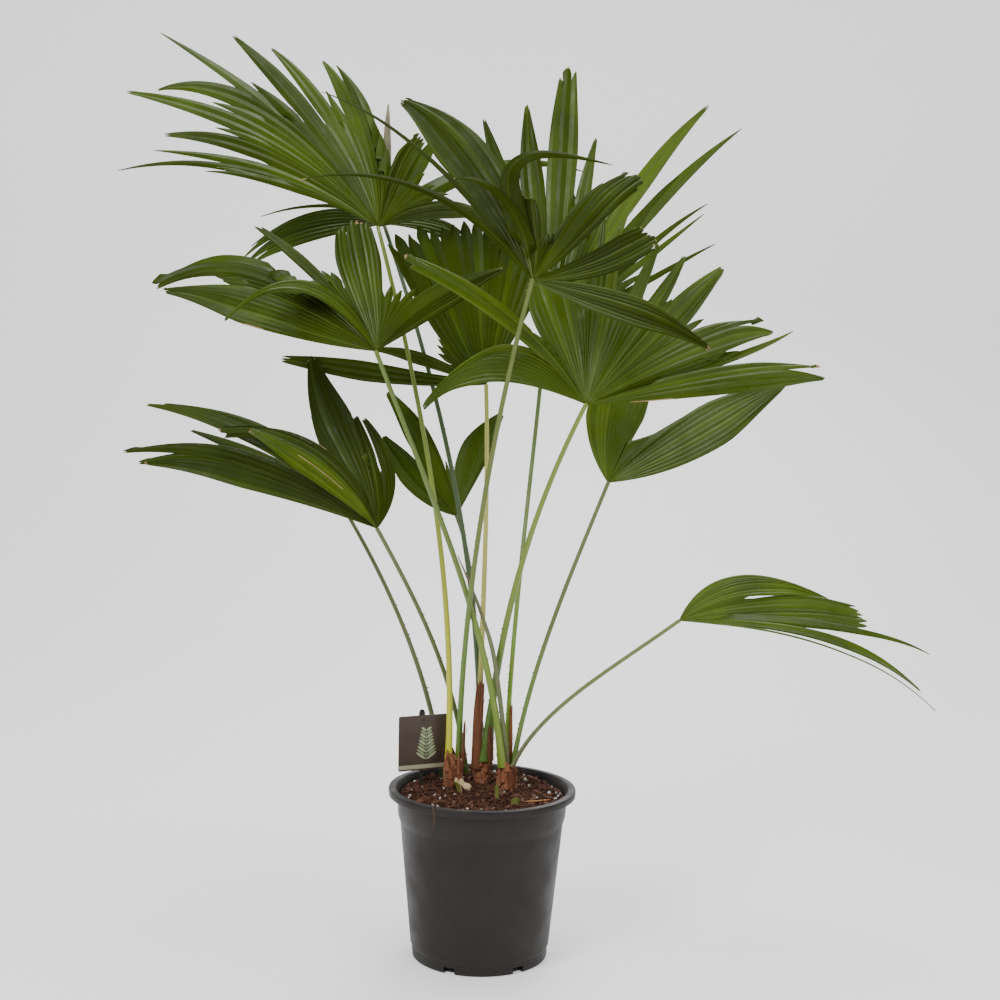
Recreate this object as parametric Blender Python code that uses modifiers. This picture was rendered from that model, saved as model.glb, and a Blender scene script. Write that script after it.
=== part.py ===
"""Chinese fan palm in a round nursery pot: three short stems, twelve fan fronds and one unopened spear leaf,
with dry leaf sheaths, cut stubs of old fronds and a bare tag on a stake.

Metres, with Z up. The origin is on the floor under the middle of the pot and the front faces -Y.
Every frond is a petiole that rises from one of the stems and a fan of leaflets joined near the hub.
"""

import math
from collections import namedtuple

import bpy
import numpy as np
from mathutils import Vector

CM = 0.01
MM = 0.001
CLEAR = 0.3 * MM  # gap kept between neighbouring solids

# Pot
RIM_RADIUS = 0.1149
POT_HEIGHT = 0.210
LIP_DROP = 0.009
LIP_THICK = 0.0022
COLLAR_TOP_RADIUS = 0.1045
COLLAR_LOW_RADIUS = 0.1025
COLLAR_LOW = 0.175
WALL_TOP_RADIUS = 0.0998
WALL_TOP = 0.168
WALL_LOW_RADIUS = 0.0856
WALL_LOW = 0.018
FOOT_RADIUS = 0.0836
WALL_THICK = 0.0018
FLOOR_THICK = 0.003
LIP_WIDTH = 0.0095
LIP_ROUND = 0.0015
LIP_ROOT_DROP = 0.0045  # where the underside of the lip meets the collar
FUNNEL = 0.003  # how far the inside slopes in below the lip
FOOT_STEP = 0.005  # height of the step from the wall to the foot
FLOOR_ROUND = 0.002
POT_STEPS = 36
NOTCH_COUNT = 6
NOTCH_FIRST_DEG = -115.0
NOTCH_WIDTH = 0.0145
NOTCH_HEIGHT = 0.008
NOTCH_DEPTH = 0.016

# Potting mix
MIX_LEVEL = 0.196
MIX_FLAT_RADIUS = 0.090
MIX_EDGE_DROP = 0.003
MIX_GAP = 0.9 * MM  # between the mix and the inside of the pot
MIX_STEPS = 32

# Stems: middle (x, y), radius at the mix and at the top, height of the top
Stem = namedtuple("Stem", "x y foot_radius top_radius top")
STEMS = {
    "left": Stem(-0.037, 0.035, 0.0115, 0.0105, 0.236),
    "middle": Stem(-0.001, 0.047, 0.0100, 0.0100, 0.232),
    "right": Stem(0.030, 0.026, 0.0120, 0.0105, 0.230),
}

# Petioles
PETIOLE_TOP_RADIUS = 0.0023
PETIOLE_SPANS = 9
PETIOLE_RUNS_ON = {"b": 0.7, "d": 0.7, "f": 0.9, "i": 0.9, "j": 1.2, "k": 1.0, "l": 1.3}  # mm past the hub
LEAST_RUN_ON = 0.25

# Blades
HUB_RADIUS = 0.0032  # the leaflets start this far from the top of the petiole
FANNED = 0.55  # how much the leaflets leave the hub evenly fanned out
CURL = 1.5  # curl of a lobe where its row gives none
PLEAT = 0.16  # height of a fold as a share of half the leaflet's width
PLEAT_MOST = 0.0015
TIP_HALF_WIDTH = 0.0012
TAPER = 1.5
LEAST_THICK = 0.0030
THIN_AT_HUB = 0.25  # share of the thickness left at the hub
FULL_THICK_FROM = 0.06
LONGEST_TO_THICK = 100.0
ROWS = (0.0, 0.15, 0.35, 0.58, 0.80, 1.0)

# A lobe is a run of leaflets folded together. Its tip and its waist, the point half way along its
# middle leaflet, are in centimetres from the hub. Spread is the angle in degrees between its outer
# leaflets, free the share of the length from which leaflets part, gather how far they close up again
# towards the tip, short how much the outer leaflets fall short, web where it parts from the next, and
# curl how far an arched lobe turns its face towards the outside of the arch.
Lobe = namedtuple("Lobe", "tip waist count spread free gather short web curl", defaults=(0.12, None, CURL))

# A frond: its hub in metres, the direction its face looks in, where lobes part from each other, the
# petiole's radius at its foot in mm, the petiole's foot and two points on it in metres, and its lobes.
Frond = namedtuple("Frond", "hub face web thick path lobes")

FRONDS = {
    "a": Frond((-0.140, 0.050, 0.890), (0.25, -0.85, 0.45), 0.58, 4.2, (
        (-0.0425, 0.036, 0.236), (-0.052, 0.030, 0.460), (-0.087, 0.035, 0.676)), (
        Lobe((-21, -4.5, 6), (-10, -2, 4.5), 2, 6, 0.58, 0.2),
        Lobe((-31, -4, 6.5), (-14.5, -2.5, 6), 1, 4, 0.35, 0.0),
        Lobe((-27.5, -3, 8.5), (-13.5, -1.5, 6.5), 2, 6, 0.58, 0.2),
        Lobe((-27, -1, 11.5), (-13, -0.5, 8), 2, 8, 0.58, 0.2),
        Lobe((-32, 0.5, 16.5), (-15, 0.5, 11), 2, 8, 0.58, 0.3),
        Lobe((-28.5, 2, 17), (-16, 2.5, 14.5), 3, 10, 0.58, 0.4),
        Lobe((-27.5, 5, 24), (-13.5, 3.5, 13), 1, 4, 0.35, 0.0),
        Lobe((-19.5, 7.5, 25), (-9.5, 4.5, 13.5), 2, 8, 0.8, 0.3),
        Lobe((-15, 8.5, 24.5), (-7, 5, 13.5), 2, 8, 0.8, 0.3),
        Lobe((-7.5, 10, 22.5), (-2.5, 5.5, 12.5), 3, 18, 0.8, 0.5),
        Lobe((5, 5, 12.5), (1.5, 2.5, 6), 3, 24, 0.8, 0.6),
        Lobe((15, -2, 1), (7.5, -1, 2.5), 4, 36, 0.8, 0.7),
    )),
    "b": Frond((-0.130, -0.090, 0.740), (0, -0.93, 0.37), 0.5, 4.4, (
        (0.024, 0.020, 0.230), (-0.011, 0.005, 0.407), (-0.068, -0.035, 0.575)), (
        Lobe((-25.5, 3, 7.5), (-12.5, 1, 4.5), 5, 38, 0.8, 0.85, 0.12, 0.72),
        Lobe((-27.5, 5, 8), (-14, 4.5, 9.4), 2, 16, 0.8, 0.6),
        Lobe((-17, -4, 4), (-7.8, -1.5, 7.3), 3, 26, 0.8, 0.75),
        Lobe((-15, 5.5, 15), (-6.5, 2.5, 7.5), 2, 11, 0.8, 0.6, 0.12, 0.62),
        Lobe((-3.5, 6, 15.5), (-2, 3, 7), 5, 42, 0.8, 0.5, 0.05),
        Lobe((14.5, 4, 10), (6, 2, 5.8), 5, 48, 0.8, 0.85),
    )),
    "c": Frond((0.045, -0.220, 0.820), (0, -0.9, 0.43), 0.15, 3.4, (
        (-0.0305, 0.034, 0.236), (-0.019, -0.010, 0.442), (0.008, -0.100, 0.642)), (
        Lobe((-25, 1, 11), (-10.5, 1, 9), 2, 6, 0.8, 0.3),
        Lobe((-23.5, 8.5, 21), (-10.5, 5, 12.5), 1, 4, 0.8, 0.4),
        Lobe((-15, 10, 21), (-7, 6, 12.5), 4, 34, 0.8, 0.75),
        Lobe((-8.5, 1, 11), (-3, 1, 8), 1, 4, 0.35, 0.0),
        Lobe((8.5, 1, 13.6), (-4.6, 1.3, 11.3), 1, 5, 0.35, 0.0),
        Lobe((-1.2, 3.5, 9.8), (-0.8, 2, 5), 2, 34, 0.8, 0.4, 0.05, 0.45),
        Lobe((8, 7, 11.5), (3, 3.5, 6), 2, 12, 0.8, 0.5),
        Lobe((11.5, 6, 12.5), (5, 2, 6.5), 4, 32, 0.8, 0.6),
        Lobe((13, 2.5, 5.5), (7, 1, 2), 4, 38, 0.8, 0.5, 0.05),
        Lobe((19, -4, -6.5), (9.5, -2.5, -2.5), 4, 38, 0.8, 0.85),
    )),
    "d": Frond((0.110, -0.120, 0.685), (0, -0.95, 0.3), 0.35, 5.0, (
        (0.004, 0.041, 0.232), (0.022, 0.020, 0.389), (0.057, -0.040, 0.541)), (
        Lobe((-18.5, -3.5, -0.5), (-10, -1.5, 5), 4, 46, 0.8, 0.8, 0.12, 0.35, 0.4),
        Lobe((-21, -2, 17), (-9, -1.5, 9.2), 2, 14, 0.8, 0.6, 0.12, 0.5),
        Lobe((-5.5, 5, 16), (-3, 2.5, 7.6), 3, 38, 0.8, 0.4, 0.12, 0.8),
        Lobe((3, 7, 22.5), (1.5, 3.5, 10.5), 3, 19, 0.58, 0.5, 0.12, 0.58),
        Lobe((8.5, 6, 19.5), (4.5, 3, 9.5), 2, 13, 0.58, 0.7, 0.12, 0.7),
        Lobe((11.5, 6.5, 17.3), (6, 2.5, 8.5), 2, 15, 0.8, 0.7, 0.12, 0.7),
        Lobe((16.2, 6, 16.8), (8.5, 2.5, 8.4), 3, 22, 0.8, 0.7, 0.12, 0.7),
        Lobe((22, 4, 9.8), (11.5, 1.5, 7), 4, 22, 0.8, 0.6, 0.12, 0.7),
        Lobe((24.5, 5, 9), (14.5, 2, 4.5), 1, 4, 0.58, 0.0),
        Lobe((28.5, 2.5, 4.5), (14.5, -0.5, 3.2), 4, 22, 0.8, 0.75),
    )),
    "e": Frond((-0.005, 0.075, 0.700), (0, -1, 0), 0.35, 3.6, (
        (-0.0065, 0.044, 0.232), (-0.004, 0.052, 0.390), (-0.002, 0.062, 0.545)), (
        Lobe((-26, 0, 3), (-12, 0, 1), 3, 16, 0.8, 0.6),
        Lobe((-14, 0, 4.5), (-7, -1, 2.8), 2, 16, 0.8, 0.6),
        Lobe((-12, 0, 19.5), (-6.5, 0, 9.4), 2, 16, 0.8, 0.2, 0.12, 0.95),
        Lobe((-9, 0, 20.3), (-4.5, 0, 9.9), 2, 14, 0.8, 0.1, 0.12, 0.95),
        Lobe((-2.5, 0, 21), (-1, 0, 11), 4, 28, 0.8, 0.1, 0.05, 0.95),
        Lobe((2.5, 0, 21), (1.5, 0, 11), 2, 14, 0.8, 0.1, 0.05, 0.95),
        Lobe((7, 0, 19.8), (4, 0, 10.5), 3, 18, 0.8, 0.1, 0.05),
    )),
    "f": Frond((0.070, 0.170, 0.770), (0, -0.98, 0.2), 0.5, 2.9, (
        (0.029, 0.0335, 0.230), (0.038, 0.070, 0.412), (0.054, 0.120, 0.589)), (
        Lobe((-9, 6, 29), (-4.5, 3, 15), 1, 9, 0.58, 0.3),
        Lobe((-3, 6, 30.5), (-2, 3, 16), 2, 15, 0.8, 0.7),
        Lobe((2.5, 7, 36), (1.2, 3.5, 18), 3, 16, 0.8, 0.6),
        Lobe((6.5, 5.5, 26.5), (3.5, 3, 14), 2, 10, 0.8, 0.5),
        Lobe((21.5, 6, 31), (10, 3, 17), 2, 8, 0.8, 0.5),
        Lobe((26, 5.5, 27.5), (12.5, 3, 15.5), 1, 4, 0.35, 0.0),
        Lobe((17, 4, 21), (9, 2, 11.5), 2, 6, 0.58, 0.3),
        Lobe((21, 3.5, 17.5), (10.5, 2, 9), 1, 5, 0.58, 0.3),
        Lobe((21, 3, 16), (11, 1.5, 8), 1, 4, 0.58, 0.0),
        Lobe((22, 2.5, 12), (12, 1.2, 6), 2, 7, 0.8, 0.3),
    )),
    "g": Frond((-0.140, 0.150, 0.900), (0, -0.95, 0.3), 0.15, 3.4, (
        (-0.004, 0.053, 0.232), (-0.021, 0.065, 0.456), (-0.067, 0.100, 0.675)), (
        Lobe((-18, -1.5, -4.5), (-9.5, -1, -0.5), 4, 38, 0.8, 0.7),
        Lobe((-16, 0, 1), (-8, -0.5, 1.5), 1, 4, 0.58, 0.0),
        Lobe((-11.5, 4, 12), (-6, 2, 7), 3, 18, 0.8, 0.4),
        Lobe((0, 5.5, 17), (0, 2.5, 8.5), 1, 8, 0.8, 0.4),
        Lobe((7, 4, 12.5), (3.5, 2.5, 7), 3, 16, 0.8, 0.4),
        Lobe((26.5, 20, 9.5), (12, 11, 8), 2, 6, 0.58, 0.2),
        Lobe((11, 1, -2), (6, 0, 0), 3, 24, 0.8, 0.4),
    )),
    "h": Frond((-0.130, -0.040, 0.530), (0, -0.85, 0.53), 0.15, 3.0, (
        (-0.020, 0.085, 0.196), (-0.043, 0.070, 0.312), (-0.081, 0.025, 0.421)), (
        Lobe((-30, 5, 8), (-14, 2, 5.2), 3, 14, 0.8, 0.6),
        Lobe((-33, 7, 9), (-15.5, 4, 8), 3, 13, 0.58, 0.4),
        Lobe((-30, 9, 14.5), (-14.5, 5.5, 9.8), 2, 9, 0.58, 0.2),
        Lobe((-15.5, 1, 11.5), (-6.5, -1, 6.5), 4, 34, 0.8, 0.8),
        Lobe((-20, 5, 11.5), (-8.5, 3.5, 9.5), 3, 17, 0.8, 0.6),
        Lobe((-9.5, 11, 21), (-6, 6, 10.2), 4, 36, 0.8, 0.75, 0.12, 0.45),
        Lobe((-3.5, 9, 13), (-1.5, 4.5, 6.5), 3, 18, 0.8, 0.6, 0.12, 0.58),
        Lobe((-2.5, 9, 13), (1, 4.5, 6), 3, 20, 0.8, 0.6),
    )),
    "i": Frond((-0.180, 0.140, 0.525), (0, -0.9, 0.43), 0.35, 3.4, (
        (-0.050, 0.067, 0.196), (-0.073, 0.085, 0.303), (-0.117, 0.110, 0.413)), (
        Lobe((-29.5, 4, 7), (-14, 2, 6.5), 3, 14, 0.58, 0.4),
        Lobe((-22, 4, 11), (-11, 2, 6.5), 2, 12, 0.8, 0.4),
        Lobe((-26, 6, 14.5), (-12, 4, 9.5), 3, 13, 0.58, 0.3),
        Lobe((-4.5, 6, 14.5), (-2, 3.5, 8), 3, 28, 0.8, 0.4),
        Lobe((4.5, 3, 6), (3, 1.5, 3.5), 3, 28, 0.8, 0.4),
    )),
    "j": Frond((-0.040, 0.120, 0.530), (0, -0.97, 0.25), 0.4, 2.4, (
        (0.0045, 0.0545, 0.232), (-0.009, 0.073, 0.333), (-0.018, 0.095, 0.439)), (
        Lobe((-10, 2.5, 10.5), (-5.5, 1, 4.5), 4, 42, 0.8, 0.75, 0.12, 0.58),
        Lobe((-9.5, 4, 16), (-4.2, 2, 8.5), 3, 28, 0.8, 0.7),
        Lobe((5.5, 3.5, 13.5), (2, 2, 8), 4, 42, 0.8, 0.7),
    )),
    "k": Frond((0.150, 0.080, 0.580), (0, -0.85, 0.53), 0.15, 3.0, (
        (0.0375, 0.0285, 0.230), (0.064, 0.040, 0.347), (0.104, 0.060, 0.463)), (
        Lobe((2.2, 8, 12.5), (0.3, 3.5, 6), 5, 56, 0.8, 0.3, 0.12, 0.62),
        Lobe((24, 9, 14), (12, 4, 6.3), 5, 42, 0.8, 0.85),
    )),
    "l": Frond((0.235, 0.000, 0.420), (0, -0.7, 0.7), 0.15, 2.8, (
        (0.0365, 0.0195, 0.230), (0.084, 0.020, 0.297), (0.156, 0.012, 0.359)), (
        Lobe((19.2, 4, 2.7), (8.6, 3.5, 4.3), 3, 38, 0.8, 0.75, 0.12, 0.5, 0.3),
        Lobe((23.5, 2, 1.2), (11, 1, 1.1), 4, 34, 0.8, 0.6, 0.05),
        Lobe((30.5, -1, -3), (18, -1.5, -0.5), 1, 6, 0.35, 0.0),
        Lobe((30, -4, -7), (17, -2.5, -1), 1, 9, 0.35, 0.0),
        Lobe((30.5, -6.5, -8.5), (16.5, -3.5, -1.5), 1, 4, 0.35, 0.0),
    )),
}

# Spear leaf: points along it in metres, with its radius at each
SPEAR = (
    ((0.0310, 0.0235, 0.231), 0.0024),
    ((0.0260, 0.0200, 0.270), 0.0026),
    ((0.0180, 0.0150, 0.327), 0.0028),
    ((0.0090, 0.0120, 0.379), 0.0026),
    ((-0.0060, 0.0100, 0.425), 0.0020),
    ((-0.0200, 0.0080, 0.460), 0.0014),
    ((-0.0350, 0.0050, 0.494), 0.0006),
)

# Dry leaf sheaths: the direction each faces in, then its middle line in metres with half its width
SHEATH_THICK = 0.0012
SHEATH_SAG = 0.18  # how far its edges bend back, as a share of half the width
SHEATHS = {
    "left_outer": ((-0.2, -1.0, 0.0), (
        (-0.0345, 0.0222, 0.2100, 0.0030), (-0.0385, 0.0224, 0.2295, 0.0035),
        (-0.0435, 0.0245, 0.2430, 0.0015))),
    "left_inner": ((0.5, -0.9, 0.0), (
        (-0.0258, 0.0281, 0.2200, 0.0022), (-0.0240, 0.0255, 0.2480, 0.0022),
        (-0.0232, 0.0215, 0.2880, 0.0015))),
    "middle_tall": ((0.0, -1.0, 0.0), (
        (-0.0086, 0.0351, 0.2200, 0.0062), (-0.0078, 0.0351, 0.2595, 0.0060),
        (-0.0065, 0.0350, 0.2970, 0.0060), (-0.0043, 0.0360, 0.3367, 0.0045))),
    "middle_flap": ((0.2, -1.0, 0.0), (
        (0.0089, 0.0362, 0.2240, 0.0030), (0.0086, 0.0342, 0.2500, 0.0036),
        (0.0085, 0.0308, 0.2790, 0.0020))),
    "right_tall": ((0.3, -1.0, 0.0), (
        (0.0347, 0.0335, 0.2330, 0.0020), (0.0345, 0.0345, 0.2670, 0.0022),
        (0.0345, 0.0400, 0.3055, 0.0015))),
    "right_outer": ((0.55, -0.83, 0.0), (
        (0.0370, 0.0154, 0.2030, 0.0060), (0.0374, 0.0150, 0.2180, 0.0060),
        (0.0385, 0.0140, 0.2340, 0.0035))),
}

# Stubs of old fronds, cut off: the foot (x, y), the top in metres, and the radius at each
STUBS = {
    "thick": ((-0.0225, 0.0120), (-0.0235, 0.0130, 0.2125), 0.0100, 0.0104),
    "thin": ((0.0185, -0.0185), (0.0180, -0.0180, 0.2165), 0.0027, 0.0024),
    "low": ((0.0403, -0.0312), (0.0405, -0.0310, 0.2040), 0.0055, 0.0050),
}

# Tag: a bare card on a flat stake, turned towards the front left
TAG_MIDDLE = (-0.0750, 0.0395)
TAG_TURN_DEG = 22.6
CARD_WIDTH = 0.0649
CARD_HEIGHT = 0.0695
CARD_BOTTOM = 0.2190
CARD_THICK = 0.0010
HOLE_RADIUS = 0.0022
HOLE_BELOW_TOP = 0.0070
STAKE_WIDTH = 0.0080
STAKE_THICK = 0.0016
STAKE_TOP = 0.2925
STAKE_SIDE = -0.0015  # from the middle of the card, along it
KNOB_RADIUS = 0.0032


def material(name, colour, roughness, metallic=0.0):
    made = bpy.data.materials.new(name)
    made.use_nodes = True
    shader = made.node_tree.nodes["Principled BSDF"]
    shader.inputs["Base Color"].default_value = (*colour, 1.0)
    shader.inputs["Roughness"].default_value = roughness
    shader.inputs["Metallic"].default_value = metallic
    return made


def mesh_object(name, verts, faces, mat, collection):
    mesh = bpy.data.meshes.new(name)
    mesh.from_pydata([tuple(v) for v in verts], [], faces)
    mesh.update()
    made = bpy.data.objects.new(name, mesh)
    made.data.materials.append(mat)
    collection.objects.link(made)
    return made


def turned(name, profile, steps, mat, collection):
    """A solid of revolution about Z from a profile of (radius, height) that starts and ends on the axis."""
    mesh = bpy.data.meshes.new(name)
    mesh.from_pydata([(r, 0.0, z) for r, z in profile], [(i, i + 1) for i in range(len(profile) - 1)], [])
    made = bpy.data.objects.new(name, mesh)
    made.data.materials.append(mat)
    collection.objects.link(made)
    screw = made.modifiers.new("turn", "SCREW")
    screw.axis = "Z"
    screw.steps = steps
    screw.render_steps = steps
    screw.use_merge_vertices = True
    screw.merge_threshold = 0.00001
    screw.use_smooth_shade = True
    return made


def tube(name, points, radii, mat, collection, sides=1):
    """A round limb along points, with a radius at each and closed ends."""
    curve = bpy.data.curves.new(name, "CURVE")
    curve.dimensions = "3D"
    curve.bevel_depth = 1.0
    curve.bevel_resolution = sides
    curve.use_fill_caps = True
    spline = curve.splines.new("POLY")
    spline.points.add(len(points) - 1)
    for place, point, radius in zip(spline.points, points, radii):
        place.co = (*point, 1.0)
        place.radius = radius
    made = bpy.data.objects.new(name, curve)
    made.data.materials.append(mat)
    collection.objects.link(made)
    return made


def bend_of(waist, tip):
    """The control point of a quadratic Bezier from the hub through the waist to the tip."""
    return 2.0 * waist - 0.5 * tip


def turned_about(vector, axis, degrees):
    a = math.radians(degrees)
    c, s = math.cos(a), math.sin(a)
    return vector * c + np.cross(axis, vector) * s + axis * np.dot(axis, vector) * (1 - c)


def unit(vector):
    return vector / np.linalg.norm(vector)


def leaflets(frond):
    """Four control points from the hub for every leaflet's rib, and how far it is joined to the next one."""
    face = unit(np.array(frond.face, float))
    plans = []
    for number, lobe in enumerate(frond.lobes):
        tip = np.array(lobe.tip, float) * CM
        bend = bend_of(np.array(lobe.waist, float) * CM, tip)
        arch = (bend - 0.5 * tip) / np.linalg.norm(tip)
        own_face = unit(face + lobe.curl * math.copysign(1.0, np.dot(arch, face)) * arch)
        for i in range(lobe.count):
            u = (2 * i + 1) / lobe.count - 1
            angle = -u * lobe.spread / 2
            length = 1.0 - lobe.short * u * u
            own_bend = turned_about(bend, own_face, angle) * (0.5 + 0.5 * length)
            own_tip = turned_about(tip, own_face, angle * (1 - lobe.gather)) * length
            last = number == len(frond.lobes) - 1
            web = lobe.web if lobe.web is not None else frond.web
            after = lobe.free if i < lobe.count - 1 else (-1.0 if last else web)
            plans.append((own_bend, own_tip, after, lobe.spread / lobe.count))
    flat = [unit(plan[0] - face * np.dot(plan[0], face)) for plan in plans]
    sweep = math.atan2(float(np.dot(np.cross(flat[-1], flat[0]), face)), float(np.dot(flat[0], flat[-1])))
    sweep = sweep % (2 * math.pi)
    shares = np.cumsum([0.0] + [0.5 * (a[3] + b[3]) for a, b in zip(plans, plans[1:])])
    shares /= shares[-1]
    ribs = []
    for (own_bend, own_tip, after, _), share in zip(plans, shares):
        leave = turned_about(flat[0], face, -math.degrees(sweep) * share)
        start = leave * HUB_RADIUS
        second = (start + 2 * own_bend) / 3
        second = (1 - FANNED) * second + FANNED * leave * np.linalg.norm(second)
        third = (2 * own_bend + own_tip) / 3
        ribs.append((start, second, third, own_tip, after))
    return ribs, face


def cubic(a, b, c, d, s):
    return (1 - s) ** 3 * a + 3 * (1 - s) ** 2 * s * b + 3 * (1 - s) * s**2 * c + s**3 * d


def blade_grid(frond):
    """Points of the ribs and of both edges of every leaflet, row by row, and which edges are shared."""
    ribs, face = leaflets(frond)
    count, rows = len(ribs), len(ROWS)
    hub = np.array(frond.hub)
    rib = np.array([[hub + cubic(a, b, c, d, s) for s in ROWS] for a, b, c, d, _ in ribs])
    along = np.gradient(rib, axis=1)
    along /= np.linalg.norm(along, axis=2, keepdims=True)
    normal = face - along * (along @ face)[..., None]
    normal /= np.linalg.norm(normal, axis=2, keepdims=True)
    across = np.cross(along, normal)
    joined = np.array([[s <= after + 1e-6 for s in ROWS] for *_, after in ribs])
    half = np.zeros((count, 2, rows, 3))
    for k in range(count):
        shared = [joined[k - 1] if k else np.zeros(rows, bool), joined[k]]
        for side, other in ((0, k - 1), (1, k + 1)):
            for i in range(rows):
                if shared[side][i]:
                    half[k, side, i] = 0.5 * (rib[other, i] - rib[k, i])
        for side in (0, 1):
            sign = 2 * side - 1
            reach = np.where(shared[side])[0].max(initial=-1)
            twin = np.where(shared[1 - side])[0].max(initial=-1)
            for i in range(rows):
                if shared[side][i]:
                    continue
                if i <= twin:
                    width = np.linalg.norm(half[k, 1 - side, i])
                else:
                    last = max(reach, twin)
                    t = (ROWS[i] - ROWS[last]) / (1 - ROWS[last])
                    base = np.linalg.norm(half[k, side if reach >= twin else 1 - side, last])
                    width = base * (1 - t**TAPER) + TIP_HALF_WIDTH * t
                half[k, side, i] = across[k, i] * sign * width
    width = np.linalg.norm(half, axis=3)
    fold = np.minimum(PLEAT * width.mean(axis=1), PLEAT_MOST)
    edge = rib[:, None] + half - normal[:, None] * fold[:, None, :, None]
    for k in range(count - 1):
        both = joined[k]
        middle = 0.5 * (edge[k, 1] + edge[k + 1, 0])
        edge[k, 1][both] = middle[both]
        edge[k + 1, 0][both] = middle[both]
    return rib + normal * fold[..., None], edge, joined


def blade(name, frond, mat, collection):
    rib, edge, joined = blade_grid(frond)
    count, rows = len(rib), len(ROWS)
    verts, faces = [], []

    def add(point):
        verts.append(point)
        return len(verts) - 1

    left = [add(edge[0, 0, i]) for i in range(rows)]
    for k in range(count):
        middle = [add(rib[k, i]) for i in range(rows)]
        right = [add(edge[k, 1, i]) for i in range(rows)]
        for i in range(rows - 1):
            faces.append((left[i], left[i + 1], middle[i + 1], middle[i]))
            faces.append((middle[i], middle[i + 1], right[i + 1], right[i]))
        if k < count - 1:
            left = [right[i] if joined[k][i] else add(edge[k + 1, 0, i]) for i in range(rows)]
    made = mesh_object(name, verts, faces, mat, collection)
    longest = max(math.dist(lobe.tip, (0, 0, 0)) for lobe in frond.lobes) * CM
    solidify = made.modifiers.new("thickness", "SOLIDIFY")
    solidify.thickness = max(LEAST_THICK, longest / LONGEST_TO_THICK)
    solidify.offset = 0.0
    group = made.vertex_groups.new(name="away_from_hub")
    for vertex in made.data.vertices:
        reach = (vertex.co - Vector(frond.hub)).length / FULL_THICK_FROM
        group.add([vertex.index], min(1.0, max(THIN_AT_HUB, reach)), "REPLACE")
    solidify.vertex_group = group.name
    return made


def through(points, s):
    """A cubic through four points a third of the way apart."""
    a, b, c, d = points
    x = 3.0 * s
    return (
        a * (x - 1) * (x - 2) * (x - 3) / -6
        + b * x * (x - 2) * (x - 3) / 2
        + c * x * (x - 1) * (x - 3) / -2
        + d * x * (x - 1) * (x - 2) / 6
    )


def petiole(name, frond, runs_on, mat, collection):
    foot_radius = frond.thick * MM
    path = [np.array(p) for p in (*frond.path, frond.hub)]
    path[3] = path[3] + unit(path[3] - through(path, 0.98)) * runs_on * MM
    lean = unit(through(path, 0.02) - path[0])
    path[0] = path[0] + np.array([0, 0, CLEAR + foot_radius * math.hypot(lean[0], lean[1])])
    shares = [i / PETIOLE_SPANS for i in range(PETIOLE_SPANS + 1)]
    points = [through(path, s) for s in shares]
    radii = [foot_radius + (PETIOLE_TOP_RADIUS - foot_radius) * s**0.6 for s in shares]
    return tube(name, points, radii, mat, collection)


def sheath(name, facing, rows, mat, collection):
    """A strip bent round the middle line that the rows give, with its edges behind it."""
    facing = unit(np.array(facing, float))
    across = np.cross(facing, (0.0, 0.0, 1.0))
    columns = (-1.0, -0.6, 0.0, 0.6, 1.0)
    verts = [
        np.array(row[:3]) + across * u * row[3] - facing * SHEATH_SAG * row[3] * u * u
        for row in rows for u in columns
    ]
    wide = len(columns)
    faces = [
        (i * wide + j, i * wide + j + 1, (i + 1) * wide + j + 1, (i + 1) * wide + j)
        for i in range(len(rows) - 1) for j in range(wide - 1)
    ]
    made = mesh_object(name, verts, faces, mat, collection)
    solidify = made.modifiers.new("thickness", "SOLIDIFY")
    solidify.thickness = SHEATH_THICK
    solidify.offset = 0.0
    return made


def block(name, size, place, turn_deg, mat, collection):
    bpy.ops.mesh.primitive_cube_add(size=1.0)
    made = bpy.context.object
    made.name = name
    made.scale = size
    made.location = place
    made.rotation_euler = (0, 0, math.radians(turn_deg))
    if mat:
        made.data.materials.append(mat)
    for home in list(made.users_collection):
        home.objects.unlink(made)
    collection.objects.link(made)
    return made


def pin(name, radius, depth, place, turn_deg, collection):
    """A round pin that points to the front of the tag."""
    bpy.ops.mesh.primitive_cylinder_add(vertices=16, radius=radius, depth=depth, location=place,
                                        rotation=(math.pi / 2, 0, math.radians(turn_deg)))
    made = bpy.context.object
    made.name = name
    for home in list(made.users_collection):
        home.objects.unlink(made)
    collection.objects.link(made)
    return made


def boolean(target, other, operation):
    other.hide_render = True
    other.display_type = "WIRE"
    modifier = target.modifiers.new(other.name, "BOOLEAN")
    modifier.operation = operation
    modifier.solver = "EXACT"
    modifier.object = other


def tag(mats, parts, cutters):
    turn = math.radians(TAG_TURN_DEG)
    along = np.array([math.cos(turn), math.sin(turn), 0.0])
    behind = np.array([-math.sin(turn), math.cos(turn), 0.0])
    middle = np.array([*TAG_MIDDLE, CARD_BOTTOM + CARD_HEIGHT / 2])
    card = block("tag_card", (CARD_WIDTH, CARD_THICK, CARD_HEIGHT), middle, TAG_TURN_DEG, mats["tag"], parts)
    hole_place = middle + along * STAKE_SIDE + np.array([0, 0, CARD_HEIGHT / 2 - HOLE_BELOW_TOP])
    hole = pin("tag_hole_cutter", HOLE_RADIUS, 4 * CARD_THICK, hole_place, TAG_TURN_DEG, cutters)
    boolean(card, hole, "DIFFERENCE")
    foot = MIX_LEVEL + CLEAR
    place = middle + along * STAKE_SIDE + behind * (CARD_THICK / 2 + STAKE_THICK / 2 + CLEAR)
    place[2] = (foot + STAKE_TOP) / 2
    size = (STAKE_WIDTH, STAKE_THICK, STAKE_TOP - foot)
    stake = block("tag_stake", size, place, TAG_TURN_DEG, mats["stake"], parts)
    place[2] = STAKE_TOP
    knob = pin("stake_knob", KNOB_RADIUS, 2 * STAKE_THICK, place, TAG_TURN_DEG, cutters)
    boolean(stake, knob, "UNION")


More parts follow.
